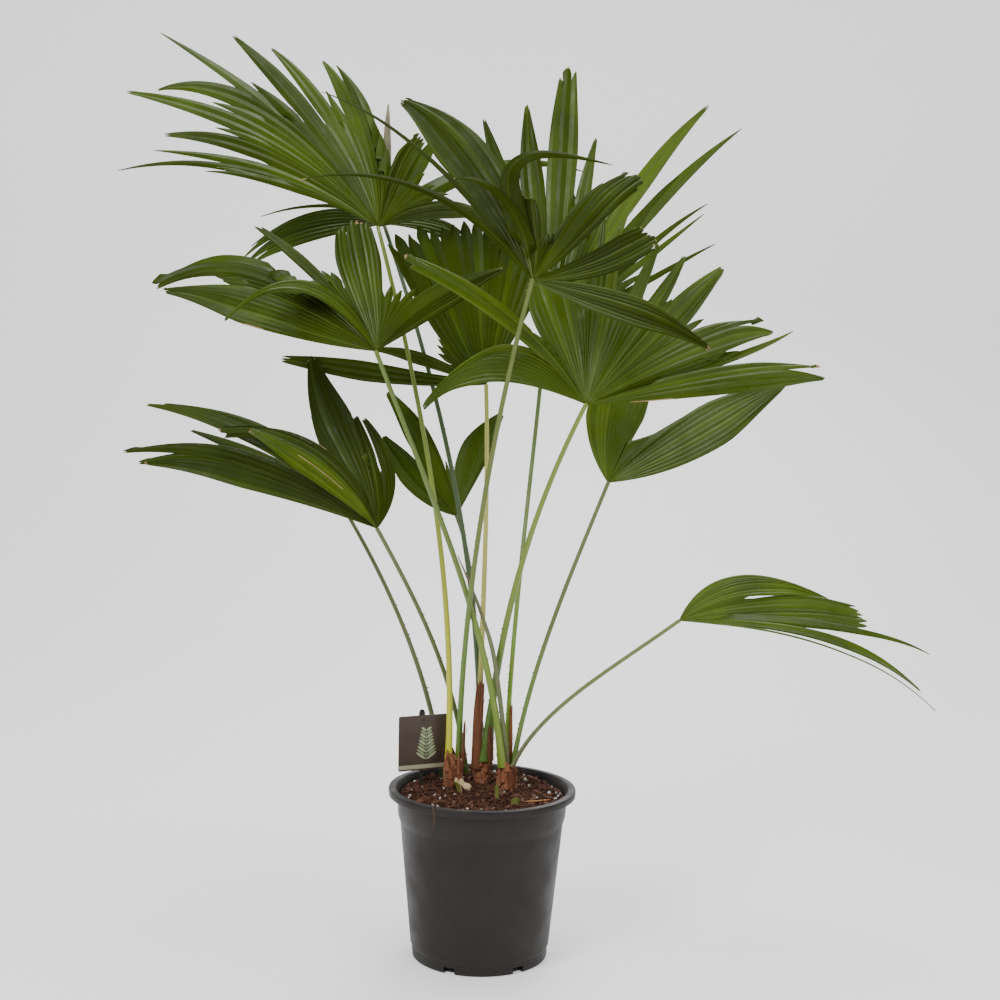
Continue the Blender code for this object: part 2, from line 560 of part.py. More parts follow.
def pot(mats, parts, cutters):
    lip_inner = RIM_RADIUS - LIP_WIDTH
    inside = [
        (0.0, FLOOR_THICK),
        (FOOT_RADIUS - WALL_THICK - FLOOR_ROUND, FLOOR_THICK),
        (FOOT_RADIUS - WALL_THICK, FLOOR_THICK + FLOOR_ROUND),
        (WALL_LOW_RADIUS - WALL_THICK, WALL_LOW + FLOOR_ROUND),
        (WALL_TOP_RADIUS - WALL_THICK, WALL_TOP),
        (COLLAR_LOW_RADIUS - WALL_THICK, COLLAR_LOW),
        (lip_inner - FUNNEL, POT_HEIGHT - 2 * FUNNEL),
        (lip_inner, POT_HEIGHT - 1 * MM),
    ]
    lip = [
        (lip_inner + LIP_ROUND, POT_HEIGHT),
        (RIM_RADIUS - LIP_ROUND, POT_HEIGHT),
        (RIM_RADIUS, POT_HEIGHT - LIP_ROUND),
        (RIM_RADIUS - 0.5 * MM, POT_HEIGHT - LIP_DROP),
        (RIM_RADIUS - LIP_THICK, POT_HEIGHT - LIP_DROP),
        (RIM_RADIUS - LIP_THICK - 0.5 * MM, POT_HEIGHT - LIP_ROOT_DROP + 1 * MM),
        (COLLAR_TOP_RADIUS + 0.5 * MM, POT_HEIGHT - LIP_ROOT_DROP),
    ]
    outside = [
        (COLLAR_TOP_RADIUS, POT_HEIGHT - LIP_ROOT_DROP - 3.5 * MM),
        (COLLAR_LOW_RADIUS, COLLAR_LOW),
        (WALL_TOP_RADIUS, WALL_TOP),
        (WALL_LOW_RADIUS, WALL_LOW),
        (FOOT_RADIUS, WALL_LOW - FOOT_STEP),
        (FOOT_RADIUS - 0.3 * MM, 1 * MM),
        (FOOT_RADIUS - 1.3 * MM, 0.0),
        (0.0, 0.0),
    ]
    profile = inside + lip + outside
    made = turned("pot", profile, POT_STEPS, mats["pot"], parts)
    for i in range(NOTCH_COUNT):
        angle = math.radians(NOTCH_FIRST_DEG + i * 360 / NOTCH_COUNT)
        place = (math.cos(angle) * FOOT_RADIUS, math.sin(angle) * FOOT_RADIUS, 0.0)
        size = (NOTCH_DEPTH, NOTCH_WIDTH, 2 * NOTCH_HEIGHT)
        notch = block(f"notch_cutter_{i}", size, place, math.degrees(angle), None, cutters)
        boolean(made, notch, "DIFFERENCE")
    return made


def potting_mix(mats, parts):
    gap = WALL_THICK + MIX_GAP
    profile = [
        (0.0, MIX_LEVEL),
        (MIX_FLAT_RADIUS, MIX_LEVEL),
        (COLLAR_LOW_RADIUS - gap - 2 * MM, MIX_LEVEL - MIX_EDGE_DROP),
        (COLLAR_LOW_RADIUS - gap, COLLAR_LOW),
        (WALL_TOP_RADIUS - gap, WALL_TOP),
        (WALL_LOW_RADIUS - gap, WALL_LOW + FLOOR_ROUND),
        (FOOT_RADIUS - gap, FLOOR_THICK + 2 * FLOOR_ROUND),
        (FOOT_RADIUS - gap - FLOOR_ROUND, FLOOR_THICK + MIX_GAP),
        (0.0, FLOOR_THICK + MIX_GAP),
    ]
    return turned("potting_mix", profile, MIX_STEPS, mats["mix"], parts)


def main():
    for leftover in list(bpy.data.objects):
        bpy.data.objects.remove(leftover)
    parts = bpy.data.collections.new("fan_palm")
    cutters = bpy.data.collections.new("cutters")
    cutters.hide_render = True
    for collection in (parts, cutters):
        bpy.context.scene.collection.children.link(collection)
    mats = {
        "pot": material("pot_plastic", (0.035, 0.038, 0.042), 0.45),
        "mix": material("potting_mix", (0.05, 0.025, 0.015), 0.95),
        "stem": material("stem_fibre", (0.20, 0.09, 0.045), 0.9),
        "petiole": material("petiole", (0.22, 0.32, 0.07), 0.45),
        "leaf": material("leaf", (0.04, 0.12, 0.02), 0.4),
        "sheath": material("dry_sheath", (0.17, 0.09, 0.045), 0.9),
        "tag": material("tag_card", (0.05, 0.03, 0.02), 0.5),
        "stake": material("tag_stake", (0.02, 0.02, 0.022), 0.4),
    }
    pot(mats, parts, cutters)
    potting_mix(mats, parts)
    for key, stem in STEMS.items():
        heights = [MIX_LEVEL + CLEAR + (stem.top - MIX_LEVEL - CLEAR) * i / 4 for i in range(5)]
        radii = [stem.foot_radius + (stem.top_radius - stem.foot_radius) * i / 4 for i in range(5)]
        tube(f"stem_{key}", [(stem.x, stem.y, z) for z in heights], radii, mats["stem"], parts, 3)
    for key, (facing, rows) in SHEATHS.items():
        sheath(f"sheath_{key}", facing, rows, mats["sheath"], parts)
    for key, (foot, top, foot_radius, top_radius) in STUBS.items():
        lean = math.dist(foot, top[:2]) / (top[2] - MIX_LEVEL)
        ends = [(*foot, MIX_LEVEL + CLEAR + foot_radius * lean), top]
        tube(f"stub_{key}", ends, [foot_radius, top_radius], mats["petiole"], parts, 3)
    tag(mats, parts, cutters)
    for key, frond in FRONDS.items():
        petiole(f"petiole_{key}", frond, PETIOLE_RUNS_ON.get(key, LEAST_RUN_ON), mats["petiole"], parts)
        blade(f"frond_{key}", frond, mats["leaf"], parts)
    tube("spear_leaf", [p for p, _ in SPEAR], [r for _, r in SPEAR], mats["leaf"], parts)


main()
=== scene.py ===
"""Looks of a potted fan palm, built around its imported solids.

Each fan follows the rule of its solid frond, carried on to narrower pleated leaflets with split tips.
Stalks, stems, sheaths, stubs, spear, pot, potting mix and tag each stand in for their plain solids.
"""

import math
from collections import namedtuple

import bpy
import numpy as np
from bpy.props import FloatProperty, FloatVectorProperty, IntProperty, PointerProperty
from mathutils import Matrix, Vector, noise


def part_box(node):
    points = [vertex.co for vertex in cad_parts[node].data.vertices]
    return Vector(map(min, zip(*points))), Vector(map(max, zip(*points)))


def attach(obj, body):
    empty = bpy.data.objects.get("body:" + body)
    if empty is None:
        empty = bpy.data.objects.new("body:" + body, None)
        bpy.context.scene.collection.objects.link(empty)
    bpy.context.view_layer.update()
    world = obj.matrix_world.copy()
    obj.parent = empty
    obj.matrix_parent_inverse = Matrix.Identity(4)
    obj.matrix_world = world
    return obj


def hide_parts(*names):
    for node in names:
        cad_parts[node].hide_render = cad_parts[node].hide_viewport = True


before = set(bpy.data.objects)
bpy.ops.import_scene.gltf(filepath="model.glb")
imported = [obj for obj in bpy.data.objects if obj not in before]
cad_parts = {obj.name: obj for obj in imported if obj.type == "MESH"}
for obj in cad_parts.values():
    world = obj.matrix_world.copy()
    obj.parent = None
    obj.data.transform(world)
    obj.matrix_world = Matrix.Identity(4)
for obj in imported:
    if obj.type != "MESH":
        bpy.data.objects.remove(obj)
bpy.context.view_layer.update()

bl_info = {
    "name": "Potted fan palm",
    "version": (1, 0, 0),
    "blender": (4, 5, 0),
    "location": "View3D > Sidebar > Fan Palm",
    "description": "Builds a young fan palm in a nursery pot around its packed solids",
    "category": "Object",
}

CM = 0.01
MM = 0.001

# Pot, as the solid has it
RIM_RADIUS = 0.1149
POT_HEIGHT = 0.210
LIP_DROP = 0.009
LIP_THICK = 0.0022
LIP_WIDTH = 0.0095
COLLAR_TOP_RADIUS = 0.1045
COLLAR_LOW_RADIUS = 0.1025
COLLAR_LOW = 0.175
WALL_TOP_RADIUS = 0.0998
WALL_TOP = 0.168
WALL_LOW_RADIUS = 0.0856
WALL_LOW = 0.018
FOOT_RADIUS = 0.0836
WALL_THICK = 0.0018
FLOOR_THICK = 0.003
NOTCH_COUNT = 6
NOTCH_FIRST_DEG = -115.0
NOTCH_SIZE = (0.016, 0.0145, 0.016)
MIX_LEVEL = 0.196
MIX_RADIUS = 0.0995

# Studio paper
SWEEP_WIDE = 5.0
SWEEP_BACK = 1.3
SWEEP_BEND = 1.4
SWEEP_HIGH = 4.0

CURL = 1.5  # curl of a lobe where its row gives none

# Stems: middle (x, y), radius at the mix and at the top, height of the top
Stem = namedtuple("Stem", "x y foot_radius top_radius top")
STEMS = {
    "left": Stem(-0.037, 0.035, 0.0115, 0.0105, 0.236),
    "middle": Stem(-0.001, 0.047, 0.0100, 0.0100, 0.232),
    "right": Stem(0.030, 0.026, 0.0120, 0.0105, 0.230),
}

# Stalks
STALK_TOP_RADIUS = 0.0023
STALK_RUNS_ON = {"b": 0.7, "d": 0.7, "f": 0.9, "i": 0.9, "j": 1.2, "k": 1.0, "l": 1.3}  # mm past the hub
LEAST_RUN_ON = 0.25

# A lobe is a run of leaflets folded together. Its tip and its waist, the point half way along its
# middle leaflet, are in centimetres from the hub. Spread is the angle in degrees between its outer
# leaflets, free the share of the length from which leaflets part, gather how far they close up again
# towards the tip, short how much the outer leaflets fall short, web where it parts from the next, and
# curl how far an arched lobe turns its face towards the outside of the arch.
Lobe = namedtuple("Lobe", "tip waist count spread free gather short web curl", defaults=(0.12, None, CURL))

# A frond: its hub in metres, the direction its face looks in, where lobes part from each other, the
# petiole's radius at its foot in mm, the petiole's foot and two points on it in metres, and its lobes.
Frond = namedtuple("Frond", "hub face web thick path lobes")

FRONDS = {
    "a": Frond((-0.140, 0.050, 0.890), (0.25, -0.85, 0.45), 0.58, 4.2, (
        (-0.0425, 0.036, 0.236), (-0.052, 0.030, 0.460), (-0.087, 0.035, 0.676)), (
        Lobe((-21, -4.5, 6), (-10, -2, 4.5), 2, 6, 0.58, 0.2),
        Lobe((-31, -4, 6.5), (-14.5, -2.5, 6), 1, 4, 0.35, 0.0),
        Lobe((-27.5, -3, 8.5), (-13.5, -1.5, 6.5), 2, 6, 0.58, 0.2),
        Lobe((-27, -1, 11.5), (-13, -0.5, 8), 2, 8, 0.58, 0.2),
        Lobe((-32, 0.5, 16.5), (-15, 0.5, 11), 2, 8, 0.58, 0.3),
        Lobe((-28.5, 2, 17), (-16, 2.5, 14.5), 3, 10, 0.58, 0.4),
        Lobe((-27.5, 5, 24), (-13.5, 3.5, 13), 1, 4, 0.35, 0.0),
        Lobe((-19.5, 7.5, 25), (-9.5, 4.5, 13.5), 2, 8, 0.8, 0.3),
        Lobe((-15, 8.5, 24.5), (-7, 5, 13.5), 2, 8, 0.8, 0.3),
        Lobe((-7.5, 10, 22.5), (-2.5, 5.5, 12.5), 3, 18, 0.8, 0.5),
        Lobe((5, 5, 12.5), (1.5, 2.5, 6), 3, 24, 0.8, 0.6),
        Lobe((15, -2, 1), (7.5, -1, 2.5), 4, 36, 0.8, 0.7),
    )),
    "b": Frond((-0.130, -0.090, 0.740), (0, -0.93, 0.37), 0.5, 4.4, (
        (0.024, 0.020, 0.230), (-0.011, 0.005, 0.407), (-0.068, -0.035, 0.575)), (
        Lobe((-25.5, 3, 7.5), (-12.5, 1, 4.5), 5, 38, 0.8, 0.85, 0.12, 0.72),
        Lobe((-27.5, 5, 8), (-14, 4.5, 9.4), 2, 16, 0.8, 0.6),
        Lobe((-17, -4, 4), (-7.8, -1.5, 7.3), 3, 26, 0.8, 0.75),
        Lobe((-15, 5.5, 15), (-6.5, 2.5, 7.5), 2, 11, 0.8, 0.6, 0.12, 0.62),
        Lobe((-3.5, 6, 15.5), (-2, 3, 7), 5, 42, 0.8, 0.5, 0.05),
        Lobe((14.5, 4, 10), (6, 2, 5.8), 5, 48, 0.8, 0.85),
    )),
    "c": Frond((0.045, -0.220, 0.820), (0, -0.9, 0.43), 0.15, 3.4, (
        (-0.0305, 0.034, 0.236), (-0.019, -0.010, 0.442), (0.008, -0.100, 0.642)), (
        Lobe((-25, 1, 11), (-10.5, 1, 9), 2, 6, 0.8, 0.3),
        Lobe((-23.5, 8.5, 21), (-10.5, 5, 12.5), 1, 4, 0.8, 0.4),
        Lobe((-15, 10, 21), (-7, 6, 12.5), 4, 34, 0.8, 0.75),
        Lobe((-8.5, 1, 11), (-3, 1, 8), 1, 4, 0.35, 0.0),
        Lobe((8.5, 1, 13.6), (-4.6, 1.3, 11.3), 1, 5, 0.35, 0.0),
        Lobe((-1.2, 3.5, 9.8), (-0.8, 2, 5), 2, 34, 0.8, 0.4, 0.05, 0.45),
        Lobe((8, 7, 11.5), (3, 3.5, 6), 2, 12, 0.8, 0.5),
        Lobe((11.5, 6, 12.5), (5, 2, 6.5), 4, 32, 0.8, 0.6),
        Lobe((13, 2.5, 5.5), (7, 1, 2), 4, 38, 0.8, 0.5, 0.05),
        Lobe((19, -4, -6.5), (9.5, -2.5, -2.5), 4, 38, 0.8, 0.85),
    )),
    "d": Frond((0.110, -0.120, 0.685), (0, -0.95, 0.3), 0.35, 5.0, (
        (0.004, 0.041, 0.232), (0.022, 0.020, 0.389), (0.057, -0.040, 0.541)), (
        Lobe((-18.5, -3.5, -0.5), (-10, -1.5, 5), 4, 46, 0.8, 0.8, 0.12, 0.35, 0.4),
        Lobe((-21, -2, 17), (-9, -1.5, 9.2), 2, 14, 0.8, 0.6, 0.12, 0.5),
        Lobe((-5.5, 5, 16), (-3, 2.5, 7.6), 3, 38, 0.8, 0.4, 0.12, 0.8),
        Lobe((3, 7, 22.5), (1.5, 3.5, 10.5), 3, 19, 0.58, 0.5, 0.12, 0.58),
        Lobe((8.5, 6, 19.5), (4.5, 3, 9.5), 2, 13, 0.58, 0.7, 0.12, 0.7),
        Lobe((11.5, 6.5, 17.3), (6, 2.5, 8.5), 2, 15, 0.8, 0.7, 0.12, 0.7),
        Lobe((16.2, 6, 16.8), (8.5, 2.5, 8.4), 3, 22, 0.8, 0.7, 0.12, 0.7),
        Lobe((22, 4, 9.8), (11.5, 1.5, 7), 4, 22, 0.8, 0.6, 0.12, 0.7),
        Lobe((24.5, 5, 9), (14.5, 2, 4.5), 1, 4, 0.58, 0.0),
        Lobe((28.5, 2.5, 4.5), (14.5, -0.5, 3.2), 4, 22, 0.8, 0.75),
    )),
    "e": Frond((-0.005, 0.075, 0.700), (0, -1, 0), 0.35, 3.6, (
        (-0.0065, 0.044, 0.232), (-0.004, 0.052, 0.390), (-0.002, 0.062, 0.545)), (
        Lobe((-26, 0, 3), (-12, 0, 1), 3, 16, 0.8, 0.6),
        Lobe((-14, 0, 4.5), (-7, -1, 2.8), 2, 16, 0.8, 0.6),
        Lobe((-12, 0, 19.5), (-6.5, 0, 9.4), 2, 16, 0.8, 0.2, 0.12, 0.95),
        Lobe((-9, 0, 20.3), (-4.5, 0, 9.9), 2, 14, 0.8, 0.1, 0.12, 0.95),
        Lobe((-2.5, 0, 21), (-1, 0, 11), 4, 28, 0.8, 0.1, 0.05, 0.95),
        Lobe((2.5, 0, 21), (1.5, 0, 11), 2, 14, 0.8, 0.1, 0.05, 0.95),
        Lobe((7, 0, 19.8), (4, 0, 10.5), 3, 18, 0.8, 0.1, 0.05),
    )),
    "f": Frond((0.070, 0.170, 0.770), (0, -0.98, 0.2), 0.5, 2.9, (
        (0.029, 0.0335, 0.230), (0.038, 0.070, 0.412), (0.054, 0.120, 0.589)), (
        Lobe((-9, 6, 29), (-4.5, 3, 15), 1, 9, 0.58, 0.3),
        Lobe((-3, 6, 30.5), (-2, 3, 16), 2, 15, 0.8, 0.7),
        Lobe((2.5, 7, 36), (1.2, 3.5, 18), 3, 16, 0.8, 0.6),
        Lobe((6.5, 5.5, 26.5), (3.5, 3, 14), 2, 10, 0.8, 0.5),
        Lobe((21.5, 6, 31), (10, 3, 17), 2, 8, 0.8, 0.5),
        Lobe((26, 5.5, 27.5), (12.5, 3, 15.5), 1, 4, 0.35, 0.0),
        Lobe((17, 4, 21), (9, 2, 11.5), 2, 6, 0.58, 0.3),
        Lobe((21, 3.5, 17.5), (10.5, 2, 9), 1, 5, 0.58, 0.3),
        Lobe((21, 3, 16), (11, 1.5, 8), 1, 4, 0.58, 0.0),
        Lobe((22, 2.5, 12), (12, 1.2, 6), 2, 7, 0.8, 0.3),
    )),
    "g": Frond((-0.140, 0.150, 0.900), (0, -0.95, 0.3), 0.15, 3.4, (
        (-0.004, 0.053, 0.232), (-0.021, 0.065, 0.456), (-0.067, 0.100, 0.675)), (
        Lobe((-18, -1.5, -4.5), (-9.5, -1, -0.5), 4, 38, 0.8, 0.7),
        Lobe((-16, 0, 1), (-8, -0.5, 1.5), 1, 4, 0.58, 0.0),
        Lobe((-11.5, 4, 12), (-6, 2, 7), 3, 18, 0.8, 0.4),
        Lobe((0, 5.5, 17), (0, 2.5, 8.5), 1, 8, 0.8, 0.4),
        Lobe((7, 4, 12.5), (3.5, 2.5, 7), 3, 16, 0.8, 0.4),
        Lobe((26.5, 20, 9.5), (12, 11, 8), 2, 6, 0.58, 0.2),
        Lobe((11, 1, -2), (6, 0, 0), 3, 24, 0.8, 0.4),
    )),
    "h": Frond((-0.130, -0.040, 0.530), (0, -0.85, 0.53), 0.15, 3.0, (
        (-0.020, 0.085, 0.196), (-0.043, 0.070, 0.312), (-0.081, 0.025, 0.421)), (
        Lobe((-30, 5, 8), (-14, 2, 5.2), 3, 14, 0.8, 0.6),
        Lobe((-33, 7, 9), (-15.5, 4, 8), 3, 13, 0.58, 0.4),
        Lobe((-30, 9, 14.5), (-14.5, 5.5, 9.8), 2, 9, 0.58, 0.2),
        Lobe((-15.5, 1, 11.5), (-6.5, -1, 6.5), 4, 34, 0.8, 0.8),
        Lobe((-20, 5, 11.5), (-8.5, 3.5, 9.5), 3, 17, 0.8, 0.6),
        Lobe((-9.5, 11, 21), (-6, 6, 10.2), 4, 36, 0.8, 0.75, 0.12, 0.45),
        Lobe((-3.5, 9, 13), (-1.5, 4.5, 6.5), 3, 18, 0.8, 0.6, 0.12, 0.58),
        Lobe((-2.5, 9, 13), (1, 4.5, 6), 3, 20, 0.8, 0.6),
    )),
    "i": Frond((-0.180, 0.140, 0.525), (0, -0.9, 0.43), 0.35, 3.4, (
        (-0.050, 0.067, 0.196), (-0.073, 0.085, 0.303), (-0.117, 0.110, 0.413)), (
        Lobe((-29.5, 4, 7), (-14, 2, 6.5), 3, 14, 0.58, 0.4),
        Lobe((-22, 4, 11), (-11, 2, 6.5), 2, 12, 0.8, 0.4),
        Lobe((-26, 6, 14.5), (-12, 4, 9.5), 3, 13, 0.58, 0.3),
        Lobe((-4.5, 6, 14.5), (-2, 3.5, 8), 3, 28, 0.8, 0.4),
        Lobe((4.5, 3, 6), (3, 1.5, 3.5), 3, 28, 0.8, 0.4),
    )),
    "j": Frond((-0.040, 0.120, 0.530), (0, -0.97, 0.25), 0.4, 2.4, (
        (0.0045, 0.0545, 0.232), (-0.009, 0.073, 0.333), (-0.018, 0.095, 0.439)), (
        Lobe((-10, 2.5, 10.5), (-5.5, 1, 4.5), 4, 42, 0.8, 0.75, 0.12, 0.58),
        Lobe((-9.5, 4, 16), (-4.2, 2, 8.5), 3, 28, 0.8, 0.7),
        Lobe((5.5, 3.5, 13.5), (2, 2, 8), 4, 42, 0.8, 0.7),
    )),
    "k": Frond((0.150, 0.080, 0.580), (0, -0.85, 0.53), 0.15, 3.0, (
        (0.0375, 0.0285, 0.230), (0.064, 0.040, 0.347), (0.104, 0.060, 0.463)), (
        Lobe((2.2, 8, 12.5), (0.3, 3.5, 6), 5, 56, 0.8, 0.3, 0.12, 0.62),
        Lobe((24, 9, 14), (12, 4, 6.3), 5, 42, 0.8, 0.85),
    )),
    "l": Frond((0.235, 0.000, 0.420), (0, -0.7, 0.7), 0.15, 2.8, (
        (0.0365, 0.0195, 0.230), (0.084, 0.020, 0.297), (0.156, 0.012, 0.359)), (
        Lobe((19.2, 4, 2.7), (8.6, 3.5, 4.3), 3, 38, 0.8, 0.75, 0.12, 0.5, 0.3),
        Lobe((23.5, 2, 1.2), (11, 1, 1.1), 4, 34, 0.8, 0.6, 0.05),
        Lobe((30.5, -1, -3), (18, -1.5, -0.5), 1, 6, 0.35, 0.0),
        Lobe((30, -4, -7), (17, -2.5, -1), 1, 9, 0.35, 0.0),
        Lobe((30.5, -6.5, -8.5), (16.5, -3.5, -1.5), 1, 4, 0.35, 0.0),
    )),
}

# Spear leaf: points along it in metres, with its radius at each
SPEAR = (
    ((0.0310, 0.0235, 0.231), 0.0024),
    ((0.0260, 0.0200, 0.270), 0.0026),
    ((0.0180, 0.0150, 0.327), 0.0028),
    ((0.0090, 0.0120, 0.379), 0.0026),
    ((-0.0060, 0.0100, 0.425), 0.0020),
    ((-0.0200, 0.0080, 0.460), 0.0014),
    ((-0.0350, 0.0050, 0.494), 0.0006),
)

# Dry leaf sheaths: the direction each faces in, then its middle line in metres with half its width
SHEATHS = {
    "left_outer": ((-0.2, -1.0, 0.0), (
        (-0.0345, 0.0222, 0.2100, 0.0030), (-0.0385, 0.0224, 0.2295, 0.0035),
        (-0.0435, 0.0245, 0.2430, 0.0015))),
    "left_inner": ((0.5, -0.9, 0.0), (
        (-0.0258, 0.0281, 0.2200, 0.0022), (-0.0240, 0.0255, 0.2480, 0.0022),
        (-0.0232, 0.0215, 0.2880, 0.0015))),
    "middle_tall": ((0.0, -1.0, 0.0), (
        (-0.0086, 0.0351, 0.2200, 0.0062), (-0.0078, 0.0351, 0.2595, 0.0060),
        (-0.0065, 0.0350, 0.2970, 0.0060), (-0.0043, 0.0360, 0.3367, 0.0045))),
    "middle_flap": ((0.2, -1.0, 0.0), (
        (0.0089, 0.0362, 0.2240, 0.0030), (0.0086, 0.0342, 0.2500, 0.0036),
        (0.0085, 0.0308, 0.2790, 0.0020))),
    "right_tall": ((0.3, -1.0, 0.0), (
        (0.0347, 0.0335, 0.2330, 0.0020), (0.0345, 0.0345, 0.2670, 0.0022),
        (0.0345, 0.0400, 0.3055, 0.0015))),
    "right_outer": ((0.55, -0.83, 0.0), (
        (0.0370, 0.0154, 0.2030, 0.0060), (0.0374, 0.0150, 0.2180, 0.0060),
        (0.0385, 0.0140, 0.2340, 0.0035))),
}

# Stubs of old fronds, cut off: the foot (x, y), the top in metres, and the radius at each
STUBS = {
    "thick": ((-0.0225, 0.0120), (-0.0235, 0.0130, 0.2125), 0.0100, 0.0104),
    "thin": ((0.0185, -0.0185), (0.0180, -0.0180, 0.2165), 0.0027, 0.0024),
    "low": ((0.0403, -0.0312), (0.0405, -0.0310, 0.2040), 0.0055, 0.0050),
}

# How the fans' leaflets leave the hub and fold
FANNED = 0.55
TAPER = 1.6
HUB_RADIUS = 0.0012
TIP_HALF_WIDTH = 0.0004
RIB_ROWS = np.concatenate([np.linspace(0.0, 0.9, 22), [0.93, 0.955, 0.975, 0.99, 1.0]])
FOLD_COLUMNS = (0.0, 0.14, 0.5, 0.86, 1.0)  # shares of the way from a rib to the seam beside it
TIP_SPLIT = (0.94, 0.985)  # where leaflets part that end in one point
DRY_FROM = (0.982, 0.995)  # where a dry tip begins
LANCE_SHORT = 0.3  # how much a lance's outer leaflets fall short, against what the table says

# Thorns, stems and stubs. The rows of an old leaf's remains say how far up, how far in and half how wide.
THORN_HALF_WIDTH = 0.5 * MM
THORN_HALF_HEIGHT = 1.2 * MM
STEM_NARROWS = 0.20  # share that a dressed stem loses to its top
SCALE_ROWS = ((0.0, 0.0, 0.0046), (0.4, 0.0006, 0.0040), (0.75, 0.0016, 0.0028), (1.0, 0.0024, 0.0010))
STUB_WALL = 3.6 * MM
STUB_BACK = math.radians(135)  # the direction of the clasping base's closed side

# How the lobes end: in pairs of leaflets with a point each, in one lance, bluntly, or slit close to the
# edge. These lobes differ from what their gather says. Then how far each kind closes towards its middle
# line, and from where at the earliest.
LOBE_ENDS = {
    ("b", 2): "lance", ("d", 7): "pairs", ("d", 9): "pairs", ("e", 0): "lance", ("e", 1): "lance",
    ("e", 2): "slits", ("e", 3): "slits", ("e", 4): "slits", ("e", 5): "slits", ("e", 6): "slits",
    ("g", 0): "pairs", ("h", 0): "pairs", ("h", 6): "lance", ("h", 7): "lance", ("j", 1): "lance",
    ("l", 0): "lance",
}
CLOSING = {"pairs": (0.86, 0.58), "lance": (0.70, 0.62), "blunt": (0.20, 0.75), "slits": (0.08, 0.90)}

# Fillers are leaflets between two lobes: the most of them, how long they are, and how far they may reach
# past where the lobes part
MOST_FILLERS = 3
FILLER_LENGTH = (0.83, 0.92)
FILLERS_PAST = {"a": 0.22}
USUALLY_PAST = 0.10
UNFILLED = ("k", "l")  # fans that get none
FILLED_FROM = 0.3  # least share of the length to which lobes are joined that get fillers
SLIT_FROM = (0.86, 0.93)  # where leaflets part in a lobe that is joined nearly to its edge

# Damage: dry lobes, and dry edges as the fan, the leaflet, its side (0 or 1), and from where to where
# along it
DRY_LOBES = {"g": (3,)}
DRY_EDGES = (
    ("d", -1, 1, 0.17, 0.33), ("h", 18, 1, 0.45, 0.80), ("h", 12, 0, 0.35, 0.7), ("b", 0, 0, 0.5, 0.62),
)

# Greens of each fan: most of its leaflets, the others, and how many of its tips are dry
FAN_LOOKS = {
    "a": ("mid", "dark", 0.5), "b": ("dark", "mid", 0.2), "c": ("deep", "dark", 0.6),
    "d": ("mid", "bright", 0.3), "e": ("dark", "mid", 0.2), "f": ("dark", "mid", 0.3),
    "g": ("mid", "dark", 0.4), "h": ("deep", "dark", 0.4), "i": ("deep", "dark", 0.4),
    "j": ("mid", "dark", 0.3), "k": ("mid", "bright", 0.3), "l": ("bright", "mid", 0.5),
}

# Lobes whose greens differ from the rest of their fan. The deeper greens of a's lower and right lobes (1, 10
# and 11) are painted shade, where those lobes lie in the shade of the ones above.
LOBE_GREENS_AND_PAINTED_SHADE = {
    ("a", 0): ("mid", "dark"), ("a", 1): ("dark", "mid"), ("a", 2): ("mid", "dark"),
    ("a", 9): ("mid", "dark"), ("a", 10): ("dark", "deep"), ("a", 11): ("deep", "dark"),
    ("b", 4): ("dark", "mid"), ("b", 5): ("dark", "deep"), ("f", 4): ("mid", "bright"),
    ("f", 5): ("mid", "bright"), ("f", 6): ("mid", "dark"), ("h", 3): ("mid", "bright"),
}

# Stalk colours, at the foot and at the top
STALK_COLOURS = {
    "a": ((0.48, 0.50, 0.018), (0.11, 0.16, 0.015)), "b": ((0.16, 0.24, 0.02), (0.10, 0.15, 0.02)),
    "c": ((0.10, 0.18, 0.02), (0.10, 0.125, 0.012)), "d": ((0.06, 0.13, 0.008), (0.16, 0.22, 0.018)),
    "e": ((0.34, 0.32, 0.09), (0.38, 0.39, 0.09)), "f": ((0.18, 0.30, 0.02), (0.10, 0.15, 0.03)),
    "g": ((0.05, 0.09, 0.03), (0.05, 0.08, 0.025)), "h": ((0.07, 0.12, 0.02), (0.10, 0.12, 0.03)),
    "i": ((0.06, 0.10, 0.02), (0.10, 0.11, 0.03)), "j": ((0.04, 0.08, 0.015), (0.06, 0.09, 0.02)),
    "k": ((0.12, 0.20, 0.03), (0.10, 0.13, 0.03)), "l": ((0.12, 0.13, 0.05), (0.12, 0.15, 0.03)),
}
# Stalks with a wide base that clasps the stem: how much wider, and the share of the length where it ends
CLASPS = {"d": (1.75, 0.17), "b": (1.3, 0.10), "a": (1.25, 0.06)}
# Length of each stalk's thorns against the usual
THORNY = {
    "a": 0.5, "b": 1.0, "c": 0.8, "d": 1.0, "e": 0.7, "f": 1.0,
    "g": 0.8, "h": 1.3, "i": 1.3, "j": 0.8, "k": 1.0, "l": 1.0,
}


# Small sums


def unit(vector):
    return vector / np.linalg.norm(vector)


def turned_about(vector, axis, degrees):
    a = math.radians(degrees)
    c, s = math.cos(a), math.sin(a)
    return vector * c + np.cross(axis, vector) * s + axis * np.dot(axis, vector) * (1 - c)


def cubic(a, b, c, d, s):
    return (1 - s) ** 3 * a + 3 * (1 - s) ** 2 * s * b + 3 * (1 - s) * s**2 * c + s**3 * d


def through(points, s):
    """A cubic through four points a third of the way apart."""
    a, b, c, d = points
    x = 3.0 * s
    return (
        a * (x - 1) * (x - 2) * (x - 3) / -6
        + b * x * (x - 2) * (x - 3) / 2
        + c * x * (x - 1) * (x - 3) / -2
        + d * x * (x - 1) * (x - 2) / 6
    )


